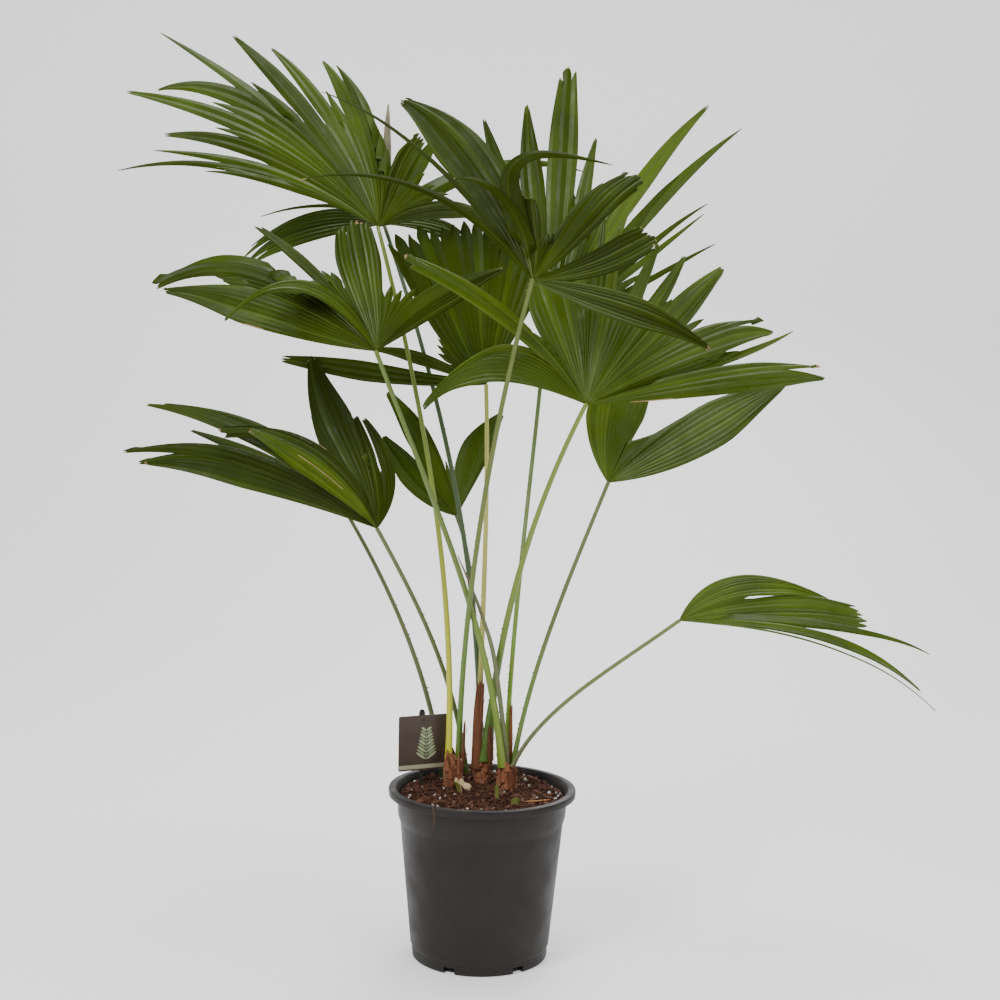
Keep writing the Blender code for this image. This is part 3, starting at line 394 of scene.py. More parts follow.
def smooth_path(points, count):
    """Points spaced along a Catmull-Rom curve through the given ones."""
    points = np.array(points, float)
    padded = np.vstack([2 * points[0] - points[1], points, 2 * points[-1] - points[-2]])
    found = []
    for x in np.linspace(0, len(points) - 1, count):
        i = min(int(x), len(points) - 2)
        t = x - i
        a, b, c, d = padded[i:i + 4]
        squared = (2 * a - 5 * b + 4 * c - d) * t**2
        cubed = (3 * b - a - 3 * c + d) * t**3
        found.append(0.5 * (2 * b + (c - a) * t + squared + cubed))
    return np.array(found)


def wander(point, scale, seed):
    """A smooth random number between about -1 and 1 that depends on the place."""
    return noise.noise(Vector(point) * scale + Vector((seed * 7.3, seed * 3.1, seed * 5.7)))


# Meshes


def quad_mesh(name, verts, quads, materials, slots=None, smooth=True, maps=None, sharp_deg=None):
    """A piece from arrays of points and four-cornered faces, with a material number for each face."""
    verts = np.asarray(verts, np.float32)
    quads = np.asarray(quads, np.int32)
    used, renumbered = np.unique(quads, return_inverse=True)
    quads = renumbered.reshape(quads.shape).astype(np.int32)
    verts = verts[used]
    mesh = bpy.data.meshes.new(name)
    mesh.vertices.add(len(verts))
    mesh.vertices.foreach_set("co", verts.ravel())
    mesh.loops.add(quads.size)
    mesh.loops.foreach_set("vertex_index", quads.ravel())
    mesh.polygons.add(len(quads))
    mesh.polygons.foreach_set("loop_start", np.arange(len(quads), dtype=np.int32) * quads.shape[1])
    mesh.polygons.foreach_set("use_smooth", np.full(len(quads), smooth))
    for key, values in (maps or {}).items():
        layer = mesh.uv_layers.new(name=key)
        layer.data.foreach_set("uv", np.asarray(values, np.float32).ravel())
    for material in materials:
        mesh.materials.append(material)
    if slots is not None:
        mesh.polygons.foreach_set("material_index", np.asarray(slots, np.int32))
    mesh.update(calc_edges=True)
    mesh.validate()
    if sharp_deg:
        mesh.set_sharp_from_angle(angle=math.radians(sharp_deg))
    made = bpy.data.objects.new(name, mesh)
    bpy.context.scene.collection.objects.link(made)
    return made


def finished(piece, slot, *nodes):
    """Rides the piece on the plant's one body and hides the solids that it stands for."""
    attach(piece, "root")
    if nodes:
        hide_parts(*nodes)
    return piece


def applied(source):
    """A mesh object with the source's modifiers made real; the source is removed."""
    graph = bpy.context.evaluated_depsgraph_get()
    mesh = bpy.data.meshes.new_from_object(source.evaluated_get(graph))
    name = source.name
    bpy.data.objects.remove(source)
    made = bpy.data.objects.new(name, mesh)
    made.matrix_world = Matrix.Identity(4)
    bpy.context.scene.collection.objects.link(made)
    return made


def point_normals(verts, quads):
    corners = verts[quads]
    across = np.cross(corners[:, 2] - corners[:, 0], corners[:, 3] - corners[:, 1])
    normals = np.zeros_like(verts)
    for i in range(4):
        np.add.at(normals, quads[:, i], across)
    return normals / np.maximum(np.linalg.norm(normals, axis=1, keepdims=True), 1e-12)


def thickened(verts, quads, thickness):
    """A sheet made a thin solid: the faces' back copies follow the front ones, and then come the rims.

    Also gives, for each rim, the front face that it borders."""
    normals = point_normals(verts, quads)
    count = len(verts)
    back = (quads + count)[:, ::-1]
    edges = np.stack([quads, np.roll(quads, -1, axis=1)], axis=2).reshape(-1, 2)
    owners = np.repeat(np.arange(len(quads)), 4)
    _, first, times = np.unique(np.sort(edges, axis=1), axis=0, return_index=True, return_counts=True)
    border = edges[first[times == 1]]
    rims = np.column_stack([border[:, 1], border[:, 0], border[:, 0] + count, border[:, 1] + count])
    both = np.vstack([verts + normals * thickness / 2, verts - normals * thickness / 2])
    return both, np.vstack([quads, back, rims]), owners[first[times == 1]]


def frames_along(path, upward):
    """At each point of a path: its direction, the side that faces upward, and the side to its right."""
    along = np.gradient(path, axis=0)
    along /= np.linalg.norm(along, axis=1, keepdims=True)
    up = upward - along * (along @ upward)[:, None]
    up /= np.linalg.norm(up, axis=1, keepdims=True)
    return along, up, np.cross(along, up)


def limb_rings(path, radii, sides, upward, shape=None, cap=True):
    """Rings of points along a path, with a radius factor for each angle, and the faces between them."""
    along, up, right = frames_along(path, np.asarray(upward, float))
    angles = np.arange(sides) * 2 * math.pi / sides
    factors = np.ones(sides) if shape is None else np.array([shape(a) for a in angles])
    ring = np.cos(angles)[None, :, None] * up[:, None] + np.sin(angles)[None, :, None] * right[:, None]
    verts = path[:, None] + ring * (np.asarray(radii)[:, None, None] * factors[None, :, None])
    rows = len(path)
    number = np.arange(rows * sides).reshape(rows, sides)
    after = np.roll(number, -1, axis=1)
    quads = np.stack([number[:-1], number[1:], after[1:], after[:-1]], axis=-1).reshape(-1, 4)
    verts = verts.reshape(-1, 3)
    if cap:
        end = path[-1] + along[-1] * radii[-1] * 0.6
        verts, quads = capped(verts, quads, number[-1], end)
    return verts, quads


def capped(verts, quads, ring, middle):
    """A ring of an even number of points closed by four-cornered faces round a middle point."""
    verts = np.vstack([verts, middle])
    last = len(verts) - 1
    count = len(ring)
    lids = [(ring[i], last, ring[(i + 2) % count], ring[(i + 1) % count]) for i in range(0, count, 2)]
    return verts, np.vstack([quads, lids])


def joined_sets(sets):
    """Several sets of points and faces as one, with the number of faces in each."""
    verts, quads, counts, base = [], [], [], 0
    for v, q in sets:
        verts.append(v)
        quads.append(np.asarray(q) + base)
        counts.append(len(q))
        base += len(v)
    return np.vstack(verts), np.vstack(quads), counts


def thread(points, radius, sides=5, count=14, thin_ends=True):
    """A thin root or fibre along a smooth path, pointed at its ends."""
    path = smooth_path(points, count)
    s = np.linspace(0, 1, count)
    radii = radius * (np.minimum(1, 6 * np.minimum(s, 1 - s)) * 0.85 + 0.15 if thin_ends else np.ones(count))
    return limb_rings(path, radii, sides, (0.31, 0.17, 0.93), cap=False)


# Shader node groups


def group_with(name, inputs, outputs):
    group = bpy.data.node_groups.new(name, "ShaderNodeTree")
    for label, kind, default in inputs:
        socket = group.interface.new_socket(label, in_out="INPUT", socket_type=kind)
        if default is not None:
            socket.default_value = default
    for label, kind in outputs:
        group.interface.new_socket(label, in_out="OUTPUT", socket_type=kind)
    return group, group.nodes.new("NodeGroupInput"), group.nodes.new("NodeGroupOutput")


def put(tree, kind, settings=None, **values):
    """A node with some of its settings, and values on its named sockets."""
    node = tree.nodes.new(kind)
    for key, value in (settings or {}).items():
        setattr(node, key, value)
    for key, value in values.items():
        node.inputs[key.replace("_", " ")].default_value = value
    return node


def sums(tree, operation, first, second=None, clamp=False):
    """A Math node on links or numbers; gives its output."""
    node = tree.nodes.new("ShaderNodeMath")
    node.operation = operation
    node.use_clamp = clamp
    for socket, value in zip(node.inputs, (first, second)):
        if value is None:
            continue
        if isinstance(value, (int, float)):
            socket.default_value = value
        else:
            tree.links.new(value, socket)
    return node.outputs[0]


def ranged(tree, value, low, high, to_low=0.0, to_high=1.0, smooth=True):
    node = tree.nodes.new("ShaderNodeMapRange")
    node.interpolation_type = "SMOOTHSTEP" if smooth else "LINEAR"
    for label, number in (("From Min", low), ("From Max", high), ("To Min", to_low), ("To Max", to_high)):
        if isinstance(number, (int, float)):
            node.inputs[label].default_value = number
        else:
            tree.links.new(number, node.inputs[label])
    tree.links.new(value, node.inputs["Value"])
    return node.outputs["Result"]


def blotch_group():
    """Soft patches: a value between Low and High that changes over the surface."""
    group, entry, leave = group_with(
        "blotches",
        (("Scale", "NodeSocketFloat", 20.0), ("Detail", "NodeSocketFloat", 3.0),
         ("Low", "NodeSocketFloat", 0.0), ("High", "NodeSocketFloat", 1.0)),
        (("Value", "NodeSocketFloat"),),
    )
    place = group.nodes.new("ShaderNodeTexCoord")
    patches = group.nodes.new("ShaderNodeTexNoise")
    group.links.new(place.outputs["Object"], patches.inputs["Vector"])
    group.links.new(entry.outputs["Scale"], patches.inputs["Scale"])
    group.links.new(entry.outputs["Detail"], patches.inputs["Detail"])
    value = ranged(group, patches.outputs["Fac"], 0.3, 0.7, entry.outputs["Low"], entry.outputs["High"])
    group.links.new(value, leave.inputs["Value"])
    return group


def streak_group():
    """Fine lengthwise fibres: a value that changes fast across the map's U and slowly along its V."""
    group, entry, leave = group_with(
        "streaks",
        (("Map", "NodeSocketVector", None), ("Across", "NodeSocketFloat", 40.0),
         ("Along", "NodeSocketFloat", 3.0)),
        (("Value", "NodeSocketFloat"),),
    )
    parts = group.nodes.new("ShaderNodeSeparateXYZ")
    whole = group.nodes.new("ShaderNodeCombineXYZ")
    fibres = put(group, "ShaderNodeTexNoise", Scale=1.0, Detail=4.0, Roughness=0.6)
    group.links.new(entry.outputs["Map"], parts.inputs[0])
    group.links.new(sums(group, "MULTIPLY", parts.outputs["X"], entry.outputs["Across"]), whole.inputs["X"])
    group.links.new(sums(group, "MULTIPLY", parts.outputs["Y"], entry.outputs["Along"]), whole.inputs["Y"])
    group.links.new(whole.outputs[0], fibres.inputs["Vector"])
    group.links.new(ranged(group, fibres.outputs["Fac"], 0.25, 0.75), leave.inputs["Value"])
    return group


def vein_group():
    """On a leaflet's map: masks of the rib in its middle and of the fine veins beside it."""
    group, entry, leave = group_with(
        "leaflet veins",
        (("Map", "NodeSocketVector", None), ("Vein Count", "NodeSocketFloat", 8.0)),
        (("Rib", "NodeSocketFloat"), ("Veins", "NodeSocketFloat")),
    )
    parts = group.nodes.new("ShaderNodeSeparateXYZ")
    group.links.new(entry.outputs["Map"], parts.inputs[0])
    beside = sums(group, "ABSOLUTE", sums(group, "SUBTRACT", parts.outputs["X"], 0.5))
    rib = ranged(group, beside, 0.02, 0.10, 1.0, 0.0)
    fading = ranged(group, parts.outputs["Y"], 0.0, 0.75, 1.0, 0.15)
    group.links.new(sums(group, "MULTIPLY", rib, fading), leave.inputs["Rib"])
    half_turns = sums(group, "MULTIPLY", entry.outputs["Vein Count"], math.pi)
    turns = sums(group, "MULTIPLY", parts.outputs["X"], half_turns)
    group.links.new(sums(group, "ABSOLUTE", sums(group, "SINE", turns)), leave.inputs["Veins"])
    return group


def named_group(name):
    """The shared node group of that name, made the first time it is asked for."""
    makers = {"blotches": blotch_group, "streaks": streak_group, "leaflet veins": vein_group}
    return bpy.data.node_groups.get(name) or makers[name]()


def grouped(tree, name, link=None, **values):
    node = tree.nodes.new("ShaderNodeGroup")
    node.node_tree = named_group(name)
    for key, value in values.items():
        node.inputs[key.replace("_", " ")].default_value = value
    if link is not None:
        tree.links.new(link, node.inputs["Map"])
    return node


# Materials


def new_material(name, colour, roughness, specular=0.5):
    material = bpy.data.materials.new(name)
    material.use_nodes = True
    tree = material.node_tree
    shader = tree.nodes["Principled BSDF"]
    shader.inputs["Base Color"].default_value = (*colour, 1.0)
    shader.inputs["Roughness"].default_value = roughness
    shader.inputs["Specular IOR Level"].default_value = specular
    material.diffuse_color = (*colour, 1.0)
    return material, tree, shader


def mixed(tree, factor, first, second):
    """A colour between two, each a link or a plain colour."""
    node = put(tree, "ShaderNodeMix", {"data_type": "RGBA"})
    sockets = [s for s in node.inputs if s.type == "RGBA"]
    factor_socket = next(s for s in node.inputs if s.type == "VALUE")
    if isinstance(factor, (int, float)):
        factor_socket.default_value = factor
    else:
        tree.links.new(factor, factor_socket)
    for socket, value in zip(sockets, (first, second)):
        if isinstance(value, tuple):
            socket.default_value = (*value, 1.0)
        else:
            tree.links.new(value, socket)
    return next(s for s in node.outputs if s.type == "RGBA")


def bumped(tree, shader, height, distance, strength=1.0):
    bump = put(tree, "ShaderNodeBump", Distance=distance, Strength=strength)
    tree.links.new(height, bump.inputs["Height"])
    tree.links.new(bump.outputs["Normal"], shader.inputs["Normal"])


def scaled(colour, factor):
    return tuple(min(1.0, c * factor) for c in colour)


def leaf_material(name, colour, roughness, specular=0.16, rib_strength=0.20):
    """Leaf skin: soft patches of a deeper green, a pale rib in each fold, fine veins and an uneven gloss."""
    material, tree, shader = new_material(name, colour, roughness, specular)
    uv = put(tree, "ShaderNodeUVMap", {"uv_map": "leaflet"}).outputs["UV"]
    veins = grouped(tree, "leaflet veins", uv, Vein_Count=8.0)
    patches = grouped(tree, "blotches", Scale=13.0, Low=0.0, High=0.85)
    skin = mixed(tree, patches.outputs["Value"], colour, scaled(colour, 0.55))
    pale = tuple(0.55 * c + 0.45 * p for c, p in zip(colour, (0.30, 0.36, 0.07)))
    faint = sums(tree, "MULTIPLY", veins.outputs["Veins"], 0.16)
    veined = mixed(tree, faint, skin, scaled(colour, 0.4))
    rib = sums(tree, "MULTIPLY", veins.outputs["Rib"], rib_strength)
    tree.links.new(mixed(tree, rib, veined, pale), shader.inputs["Base Color"])
    gloss = grouped(tree, "blotches", Scale=55.0, Low=roughness - 0.07, High=roughness + 0.10)
    tree.links.new(gloss.outputs["Value"], shader.inputs["Roughness"])
    return material


def streaked_material(name, colour, other, roughness, across, along, relief, uv_map="length", specular=0.4):
    """Fibrous skin, streaked lengthwise between two colours."""
    material, tree, shader = new_material(name, colour, roughness, specular)
    uv = put(tree, "ShaderNodeUVMap", {"uv_map": uv_map}).outputs["UV"]
    fibres = grouped(tree, "streaks", uv, Across=across, Along=along)
    tree.links.new(mixed(tree, fibres.outputs["Value"], colour, other), shader.inputs["Base Color"])
    bumped(tree, shader, fibres.outputs["Value"], relief, 0.8)
    return material


def stalk_material(name, low, high):
    """Stalk skin that turns from one green at the foot to another at the top."""
    material, tree, shader = new_material(name, high, 0.42)
    uv = put(tree, "ShaderNodeUVMap", {"uv_map": "length"}).outputs["UV"]
    parts = tree.nodes.new("ShaderNodeSeparateXYZ")
    tree.links.new(uv, parts.inputs[0])
    rising = ranged(tree, parts.outputs["Y"], 0.02, 0.62)
    green = mixed(tree, rising, low, high)
    fibres = grouped(tree, "streaks", uv, Across=16.0, Along=9.0)
    faint = sums(tree, "MULTIPLY", fibres.outputs["Value"], 0.3)
    tree.links.new(mixed(tree, faint, green, scaled(low, 0.45)), shader.inputs["Base Color"])
    gloss = grouped(tree, "blotches", Scale=60.0, Low=0.34, High=0.52)
    tree.links.new(gloss.outputs["Value"], shader.inputs["Roughness"])
    bumped(tree, shader, fibres.outputs["Value"], 0.0002, 0.5)
    return material


def mottled_material(name, colour, other, roughness, scale, relief, specular=0.4):
    """A grainy skin, mottled between two colours, with the grain's relief."""
    material, tree, shader = new_material(name, colour, roughness, specular)
    grain = grouped(tree, "blotches", Scale=scale, Detail=6.0)
    tree.links.new(mixed(tree, grain.outputs["Value"], colour, other), shader.inputs["Base Color"])
    bumped(tree, shader, grain.outputs["Value"], relief, 0.8)
    return material


def pot_material(colour):
    """Moulded dark plastic: faint dust, an even fine grain and a soft gloss that varies."""
    material, tree, shader = new_material("pot_plastic", colour, 0.48, 0.18)
    dust = grouped(tree, "blotches", Scale=9.0, Detail=5.0, Low=0.0, High=0.35)
    dusty = mixed(tree, dust.outputs["Value"], colour, scaled(colour, 1.6))
    tree.links.new(dusty, shader.inputs["Base Color"])
    gloss = grouped(tree, "blotches", Scale=26.0, Detail=5.0, Low=0.38, High=0.56)
    tree.links.new(gloss.outputs["Value"], shader.inputs["Roughness"])
    grain = grouped(tree, "blotches", Scale=900.0, Detail=2.0)
    bumped(tree, shader, grain.outputs["Value"], 0.00008, 0.5)
    return material


def stem_material(colour, dark):
    """Scaly stem skin: crossing fibres wound round it in both directions."""
    material, tree, shader = new_material("stem_skin", colour, 0.85, 0.3)
    place = tree.nodes.new("ShaderNodeTexCoord").outputs["Object"]
    weave = None
    for turn in (0.9, -0.9):
        tilted = put(tree, "ShaderNodeMapping", Rotation=(0.0, turn, 0.4), Scale=(1.0, 1.0, 1.0))
        tree.links.new(place, tilted.inputs["Vector"])
        wave = put(tree, "ShaderNodeTexWave", Scale=95.0, Distortion=5.0, Detail=3.0)
        tree.links.new(tilted.outputs[0], wave.inputs["Vector"])
        weave = wave.outputs["Fac"] if weave is None else sums(tree, "MAXIMUM", weave, wave.outputs["Fac"])
    patches = grouped(tree, "blotches", Scale=120.0, Detail=4.0)
    shade = sums(tree, "MULTIPLY", weave, patches.outputs["Value"])
    tree.links.new(mixed(tree, shade, dark, colour), shader.inputs["Base Color"])
    bumped(tree, shader, weave, 0.0012, 0.9)
    return material


# Fans


Rib = namedtuple("Rib", "start second third tip after lobe segment closing u reach", defaults=(1.0,))


def lobe_end(key, number, lobe):
    if (key, number) in LOBE_ENDS:
        return LOBE_ENDS[key, number]
    if lobe.gather >= 0.7:
        return "lance"
    return "pairs" if lobe.gather <= 0.5 and lobe.spread <= 30 else "blunt"


def fine_ribs(key, frond, sizes, random):
    """Each leaflet's rib: four control points, where it parts from the next, and what it closes up with."""
    face = unit(np.array(frond.face, float))
    plans = []
    for number, lobe in enumerate(frond.lobes):
        tip = np.array(lobe.tip, float) * CM
        bend = 2.0 * np.array(lobe.waist, float) * CM - 0.5 * tip
        arch = (bend - 0.5 * tip) / np.linalg.norm(tip)
        own_face = unit(face + lobe.curl * math.copysign(1.0, np.dot(arch, face)) * arch)
        count = max(1, round(lobe.spread / sizes.leaflet_angle))
        end = lobe_end(key, number, lobe)
        last_pair = max(0, count // 2 - 1)
        for i in range(count):
            u = (2 * i + 1) / count - 1
            angle = -u * lobe.spread / 2
            short = lobe.short * (LANCE_SHORT if end == "lance" else 1.0)
            length = (1.0 - short * u * u) * (1.0 + sizes.tip_jitter * random.uniform(-1, 0.35))
            own_bend = turned_about(bend, own_face, angle) * (0.5 + 0.5 * length)
            own_tip = turned_about(tip, own_face, angle * (1 - lobe.gather)) * length
            web = frond.web if lobe.web is None else lobe.web
            pair, next_pair = (min((i + step) // 2, last_pair) if end == "pairs" else 0 for step in (0, 1))
            if i == count - 1:
                after = -1.0 if number == len(frond.lobes) - 1 else web * random.uniform(0.80, 0.97)
            elif end == "slits":
                after = random.uniform(*SLIT_FROM)
            elif pair == next_pair:
                after = random.uniform(*TIP_SPLIT)
            else:
                after = lobe.free * random.uniform(0.90, 1.03)
            plans.append((own_bend, own_tip, after, lobe.spread / count, number, 10 * number + pair, end, u))
    flat = [unit(plan[0] - face * np.dot(plan[0], face)) for plan in plans]
    sweep = math.atan2(float(np.dot(np.cross(flat[-1], flat[0]), face)), float(np.dot(flat[0], flat[-1])))
    sweep = sweep % (2 * math.pi)
    shares = np.cumsum([0.0] + [0.5 * (a[3] + b[3]) for a, b in zip(plans, plans[1:])])
    shares /= shares[-1]
    ribs = []
    for (own_bend, own_tip, after, _, number, segment, end, u), share in zip(plans, shares):
        leave = turned_about(flat[0], face, -math.degrees(sweep) * share)
        start = leave * HUB_RADIUS
        second = (start + 2 * own_bend) / 3
        second = (1 - FANNED) * second + FANNED * leave * np.linalg.norm(second)
        third = (2 * own_bend + own_tip) / 3
        ribs.append(Rib(start, second, third, own_tip, after, number, segment, end, u))
    return with_fillers(key, ribs, sizes, random), face


def with_fillers(key, ribs, sizes, random):
    """The ribs, with more between two lobes where the sheet would be flat for want of folds."""
    past = FILLERS_PAST.get(key, USUALLY_PAST)
    full = [ribs[0]]
    for left, right in zip(ribs, ribs[1:]):
        gap = np.linalg.norm(cubic(*left[:4], left.after) - cubic(*right[:4], left.after))
        usual = math.radians(sizes.leaflet_angle) * np.linalg.norm(left.tip) * left.after
        parting = key not in UNFILLED and left.lobe != right.lobe and left.after > FILLED_FROM
        extra = min(MOST_FILLERS, round(gap / usual) - 1) if parting else 0
        for i in range(extra):
            share = (i + 1) / (extra + 1)
            start, second, third, tip = ((1 - share) * a + share * b for a, b in zip(left[:4], right[:4]))
            after = left.after * random.uniform(0.93, 1.02)
            reach = min(random.uniform(*FILLER_LENGTH), after + past)
            full.append(Rib(start, second, third, tip, after, left.lobe, 1000 * (left.lobe + 1) + i,
                            "lance", left.u, reach))
        full.append(right)
    return full


def rib_line(rib):
    """A rib's points: at its neighbours' shares while they are joined, then up to its own reach."""
    free = np.maximum(0.0, RIB_ROWS - rib.after) * (rib.reach - rib.after) / (1 - rib.after)
    shares = np.minimum(RIB_ROWS, rib.after) + free
    return [cubic(*rib[:4], s) for s in shares]


def waved(rib, normal, ribs, sizes, random):
    """Gentle waves along each lobe and across it, and points that droop a little, each in its own way."""
    phases = random.uniform(0, 2 * math.pi, (20, 2))
    s = RIB_ROWS
    free = np.clip((s - 0.7) / 0.3, 0, 1) ** 2
    droops = {r.segment: random.uniform((0.0, -1.0), (1.0, 1.0)) for r in ribs}
    for k, r in enumerate(ribs):
        long_wave = np.sin(2.4 * math.pi * s + phases[r.lobe, 0]) * s**1.2
        cross_wave = np.sin(1.6 * math.pi * r.u + phases[r.lobe, 1] + 2.0 * s) * s**1.5
        rib[k] += normal[k] * (sizes.wave * (0.7 * long_wave + 0.8 * cross_wave))[:, None]
        down, aside = droops[r.segment] + random.uniform(-0.12, 0.12, 2)
        droop = sizes.tip_droop * free * (r.reach - r.after) / (1 - r.after)
        rib[k, :, 2] -= droop * down
        rib[k] += normal[k] * (0.5 * droop * aside)[:, None]
    return rib


def closed_up(rib, ribs):
    """Leaflets of one segment drawn together towards its point."""
    for segment in sorted({r.segment for r in ribs}):
        own = [k for k, r in enumerate(ribs) if r.segment == segment]
        share, earliest = CLOSING[ribs[own[0]].closing]
        before = ribs[own[0] - 1].after if own[0] else 0.0
        start = max(earliest, before - 0.06, ribs[own[-1]].after - 0.06)
        pull = share * np.clip((RIB_ROWS - start) / (1 - start), 0, 1) ** 1.3
        middle = rib[own].mean(axis=0)
        rib[own] += (middle - rib[own]) * pull[:, None]
    return rib


def rib_frames(rib, face):
    along = np.gradient(rib, axis=1)
    along /= np.linalg.norm(along, axis=2, keepdims=True)
    normal = face - along * (along @ face)[..., None]
    normal /= np.linalg.norm(normal, axis=2, keepdims=True)
    return along, normal, np.cross(along, normal)


def half_widths(rib, across, joined):
    """From a rib's points to both edges of its leaflet, half way to the neighbour where they are joined."""
    count, rows = joined.shape
    half = np.zeros((count, 2, rows, 3))
    for k in range(count):
        shared = [joined[k - 1] if k else np.zeros(rows, bool), joined[k]]
        for side, other in ((0, k - 1), (1, k + 1)):
            if shared[side].any():
                half[k, side][shared[side]] = 0.5 * (rib[other] - rib[k])[shared[side]]
        last_shared = [int(np.where(s)[0].max(initial=-1)) for s in shared]
        for side in (0, 1):
            sign = 2 * side - 1
            for i in range(rows):
                if shared[side][i]:
                    continue
                if i <= last_shared[1 - side]:
                    width = np.linalg.norm(half[k, 1 - side, i])
                    if last_shared[side] >= 0:
                        t = (RIB_ROWS[i] - RIB_ROWS[last_shared[side]]) / (1 - RIB_ROWS[last_shared[side]])
                        own = np.linalg.norm(half[k, side, last_shared[side]])
                        width = min(width, own * (1 - t**TAPER) + TIP_HALF_WIDTH * t)
                else:
                    last = max(last_shared)
                    t = (RIB_ROWS[i] - RIB_ROWS[last]) / (1 - RIB_ROWS[last])
                    longer = side if last_shared[side] >= last_shared[1 - side] else 1 - side
                    base = np.linalg.norm(half[k, longer, last])
                    if last_shared[side] < last:
                        base = min(base, np.linalg.norm(half[k, side, last]))
                    width = base * (1 - t**TAPER) + TIP_HALF_WIDTH * t
                half[k, side, i] = across[k, i] * sign * width
    return half


def fan_sheet(key, frond, sizes, random):
    """Points of the whole pleated sheet, nine across each leaflet, the number of each point, and the ribs."""
    ribs, face = fine_ribs(key, frond, sizes, random)
    hub = np.array(frond.hub)
    rib = hub + np.array([rib_line(r) for r in ribs])
    rib = closed_up(waved(rib, rib_frames(rib, face)[1], ribs, sizes, random), ribs)
    _, normal, across = rib_frames(rib, face)
    count, rows = len(ribs), len(RIB_ROWS)
    joined = np.array([[s <= r.after + 1e-6 for s in RIB_ROWS] for r in ribs])
    half = half_widths(rib, across, joined)
    width = np.linalg.norm(half, axis=3)
    fold = np.minimum(sizes.pleat * width.mean(axis=1), sizes.pleat_most)
    wide = 2 * len(FOLD_COLUMNS) - 1
    points = np.zeros((count, wide, rows, 3))
    middle = len(FOLD_COLUMNS) - 1
    for number, share in enumerate(FOLD_COLUMNS):
        height = (normal * fold[..., None]) * (1 - 2 * share)
        for side, column in ((0, middle - number), (1, middle + number)):
            points[:, column] = rib + half[:, side] * share + height
    index = np.arange(count * wide * rows).reshape(count, wide, rows)
    for k in range(count - 1):
        both = joined[k]
        seam = 0.5 * (points[k, -1] + points[k + 1, 0])
        points[k, -1][both] = seam[both]
        index[k + 1, 0][both] = index[k, -1][both]
    return points, index, ribs


def fan_maps(count, wide, rows, quads_per_leaflet):
    """Where each corner of the front faces lies on its leaflet, and on the sheet that the bake fills."""
    column, row = np.meshgrid(np.arange(wide - 1), np.arange(rows - 1), indexing="ij")
    u = np.stack([column + 1, column + 1, column, column], axis=-1).reshape(-1, 4) / (wide - 1)
    v = RIB_ROWS[np.stack([row, row + 1, row + 1, row], axis=-1).reshape(-1, 4)]
    leaflet = np.tile(np.stack([u, v], axis=-1), (count, 1, 1))
    strip = np.repeat(np.arange(count), quads_per_leaflet)[:, None]
    return leaflet, strip


def build_fan(key, frond, sizes, greens, random):
    points, index, ribs = fan_sheet(key, frond, sizes, random)
    count, wide, rows = index.shape
    quads = np.stack([index[:, 1:, :-1], index[:, 1:, 1:], index[:, :-1, 1:], index[:, :-1, :-1]], axis=-1)
    quads = quads.reshape(-1, 4)
    per_leaflet = (wide - 1) * (rows - 1)
    leaflet, strip = fan_maps(count, wide, rows, per_leaflet)
    verts, every, rim_owner = thickened(points.reshape(-1, 3), quads, sizes.blade_thickness)
    back = leaflet[:, ::-1]
    rim = leaflet[rim_owner]
    front_sheet = np.stack([(strip + 0.06 + 0.88 * leaflet[..., 0]) / (2 * count), leaflet[..., 1]], axis=-1)
    back_sheet = np.stack([0.5 + (strip + 0.06 + 0.88 * back[..., 0]) / (2 * count), back[..., 1]], axis=-1)
    maps = {
        "OFBake": np.concatenate([front_sheet, back_sheet, front_sheet[rim_owner]]),
        "leaflet": np.concatenate([leaflet, back, rim]),
    }
    *usual, dry_share = FAN_LOOKS[key]
    # Per-lobe greens; on a's lower and right lobes these deeper greens are painted shade
    looks = [LOBE_GREENS_AND_PAINTED_SHADE.get((key, r.lobe), usual) for r in ribs]
    kinds = list(dict.fromkeys(kind for look in looks for kind in look))
    second = random.random(count) < 0.3
    dry = random.random(count) < dry_share
    dry_from = random.uniform(*DRY_FROM, count)
    middle_row = np.tile(np.tile(0.5 * (RIB_ROWS[:-1] + RIB_ROWS[1:]), wide - 1), count)
    owner = np.repeat(np.arange(count), per_leaflet)
    slots = np.array([kinds.index(look[int(other)]) for look, other in zip(looks, second)])[owner]
    dried = dry[owner] & (middle_row > dry_from[owner])
    faded = np.array([r.lobe in DRY_LOBES.get(key, ()) for r in ribs])[owner]
    column = np.tile(np.repeat(np.arange(wide - 1), rows - 1), count)
    for fan, leaflet_number, side, low, high in DRY_EDGES:
        if fan == key:
            at_edge = column >= wide - 3 if side else column <= 1
            dried |= (owner == leaflet_number % count) & at_edge & (middle_row > low) & (middle_row < high)
    kinds += ["dry", "faded", "under"]
    slots_back = np.full(len(slots), kinds.index("under"))
    for mask, kind in ((faded, "faded"), (dried, "dry")):
        slots[mask] = kinds.index(kind)
        slots_back[mask] = kinds.index(kind)
    materials = [greens[kind] for kind in kinds]
    every_slot = np.concatenate([slots, slots_back, slots[rim_owner]])
    piece = quad_mesh(f"fan_{key}", verts, every, materials, every_slot, maps=maps)
    return finished(piece, "leaf", f"frond_{key}")


# Stalks


def half_round(angle):
    """A stalk's section: flat on the side that faces up, with two edges."""
    return min(1.0, 0.78 / max(math.cos(angle), 0.01))


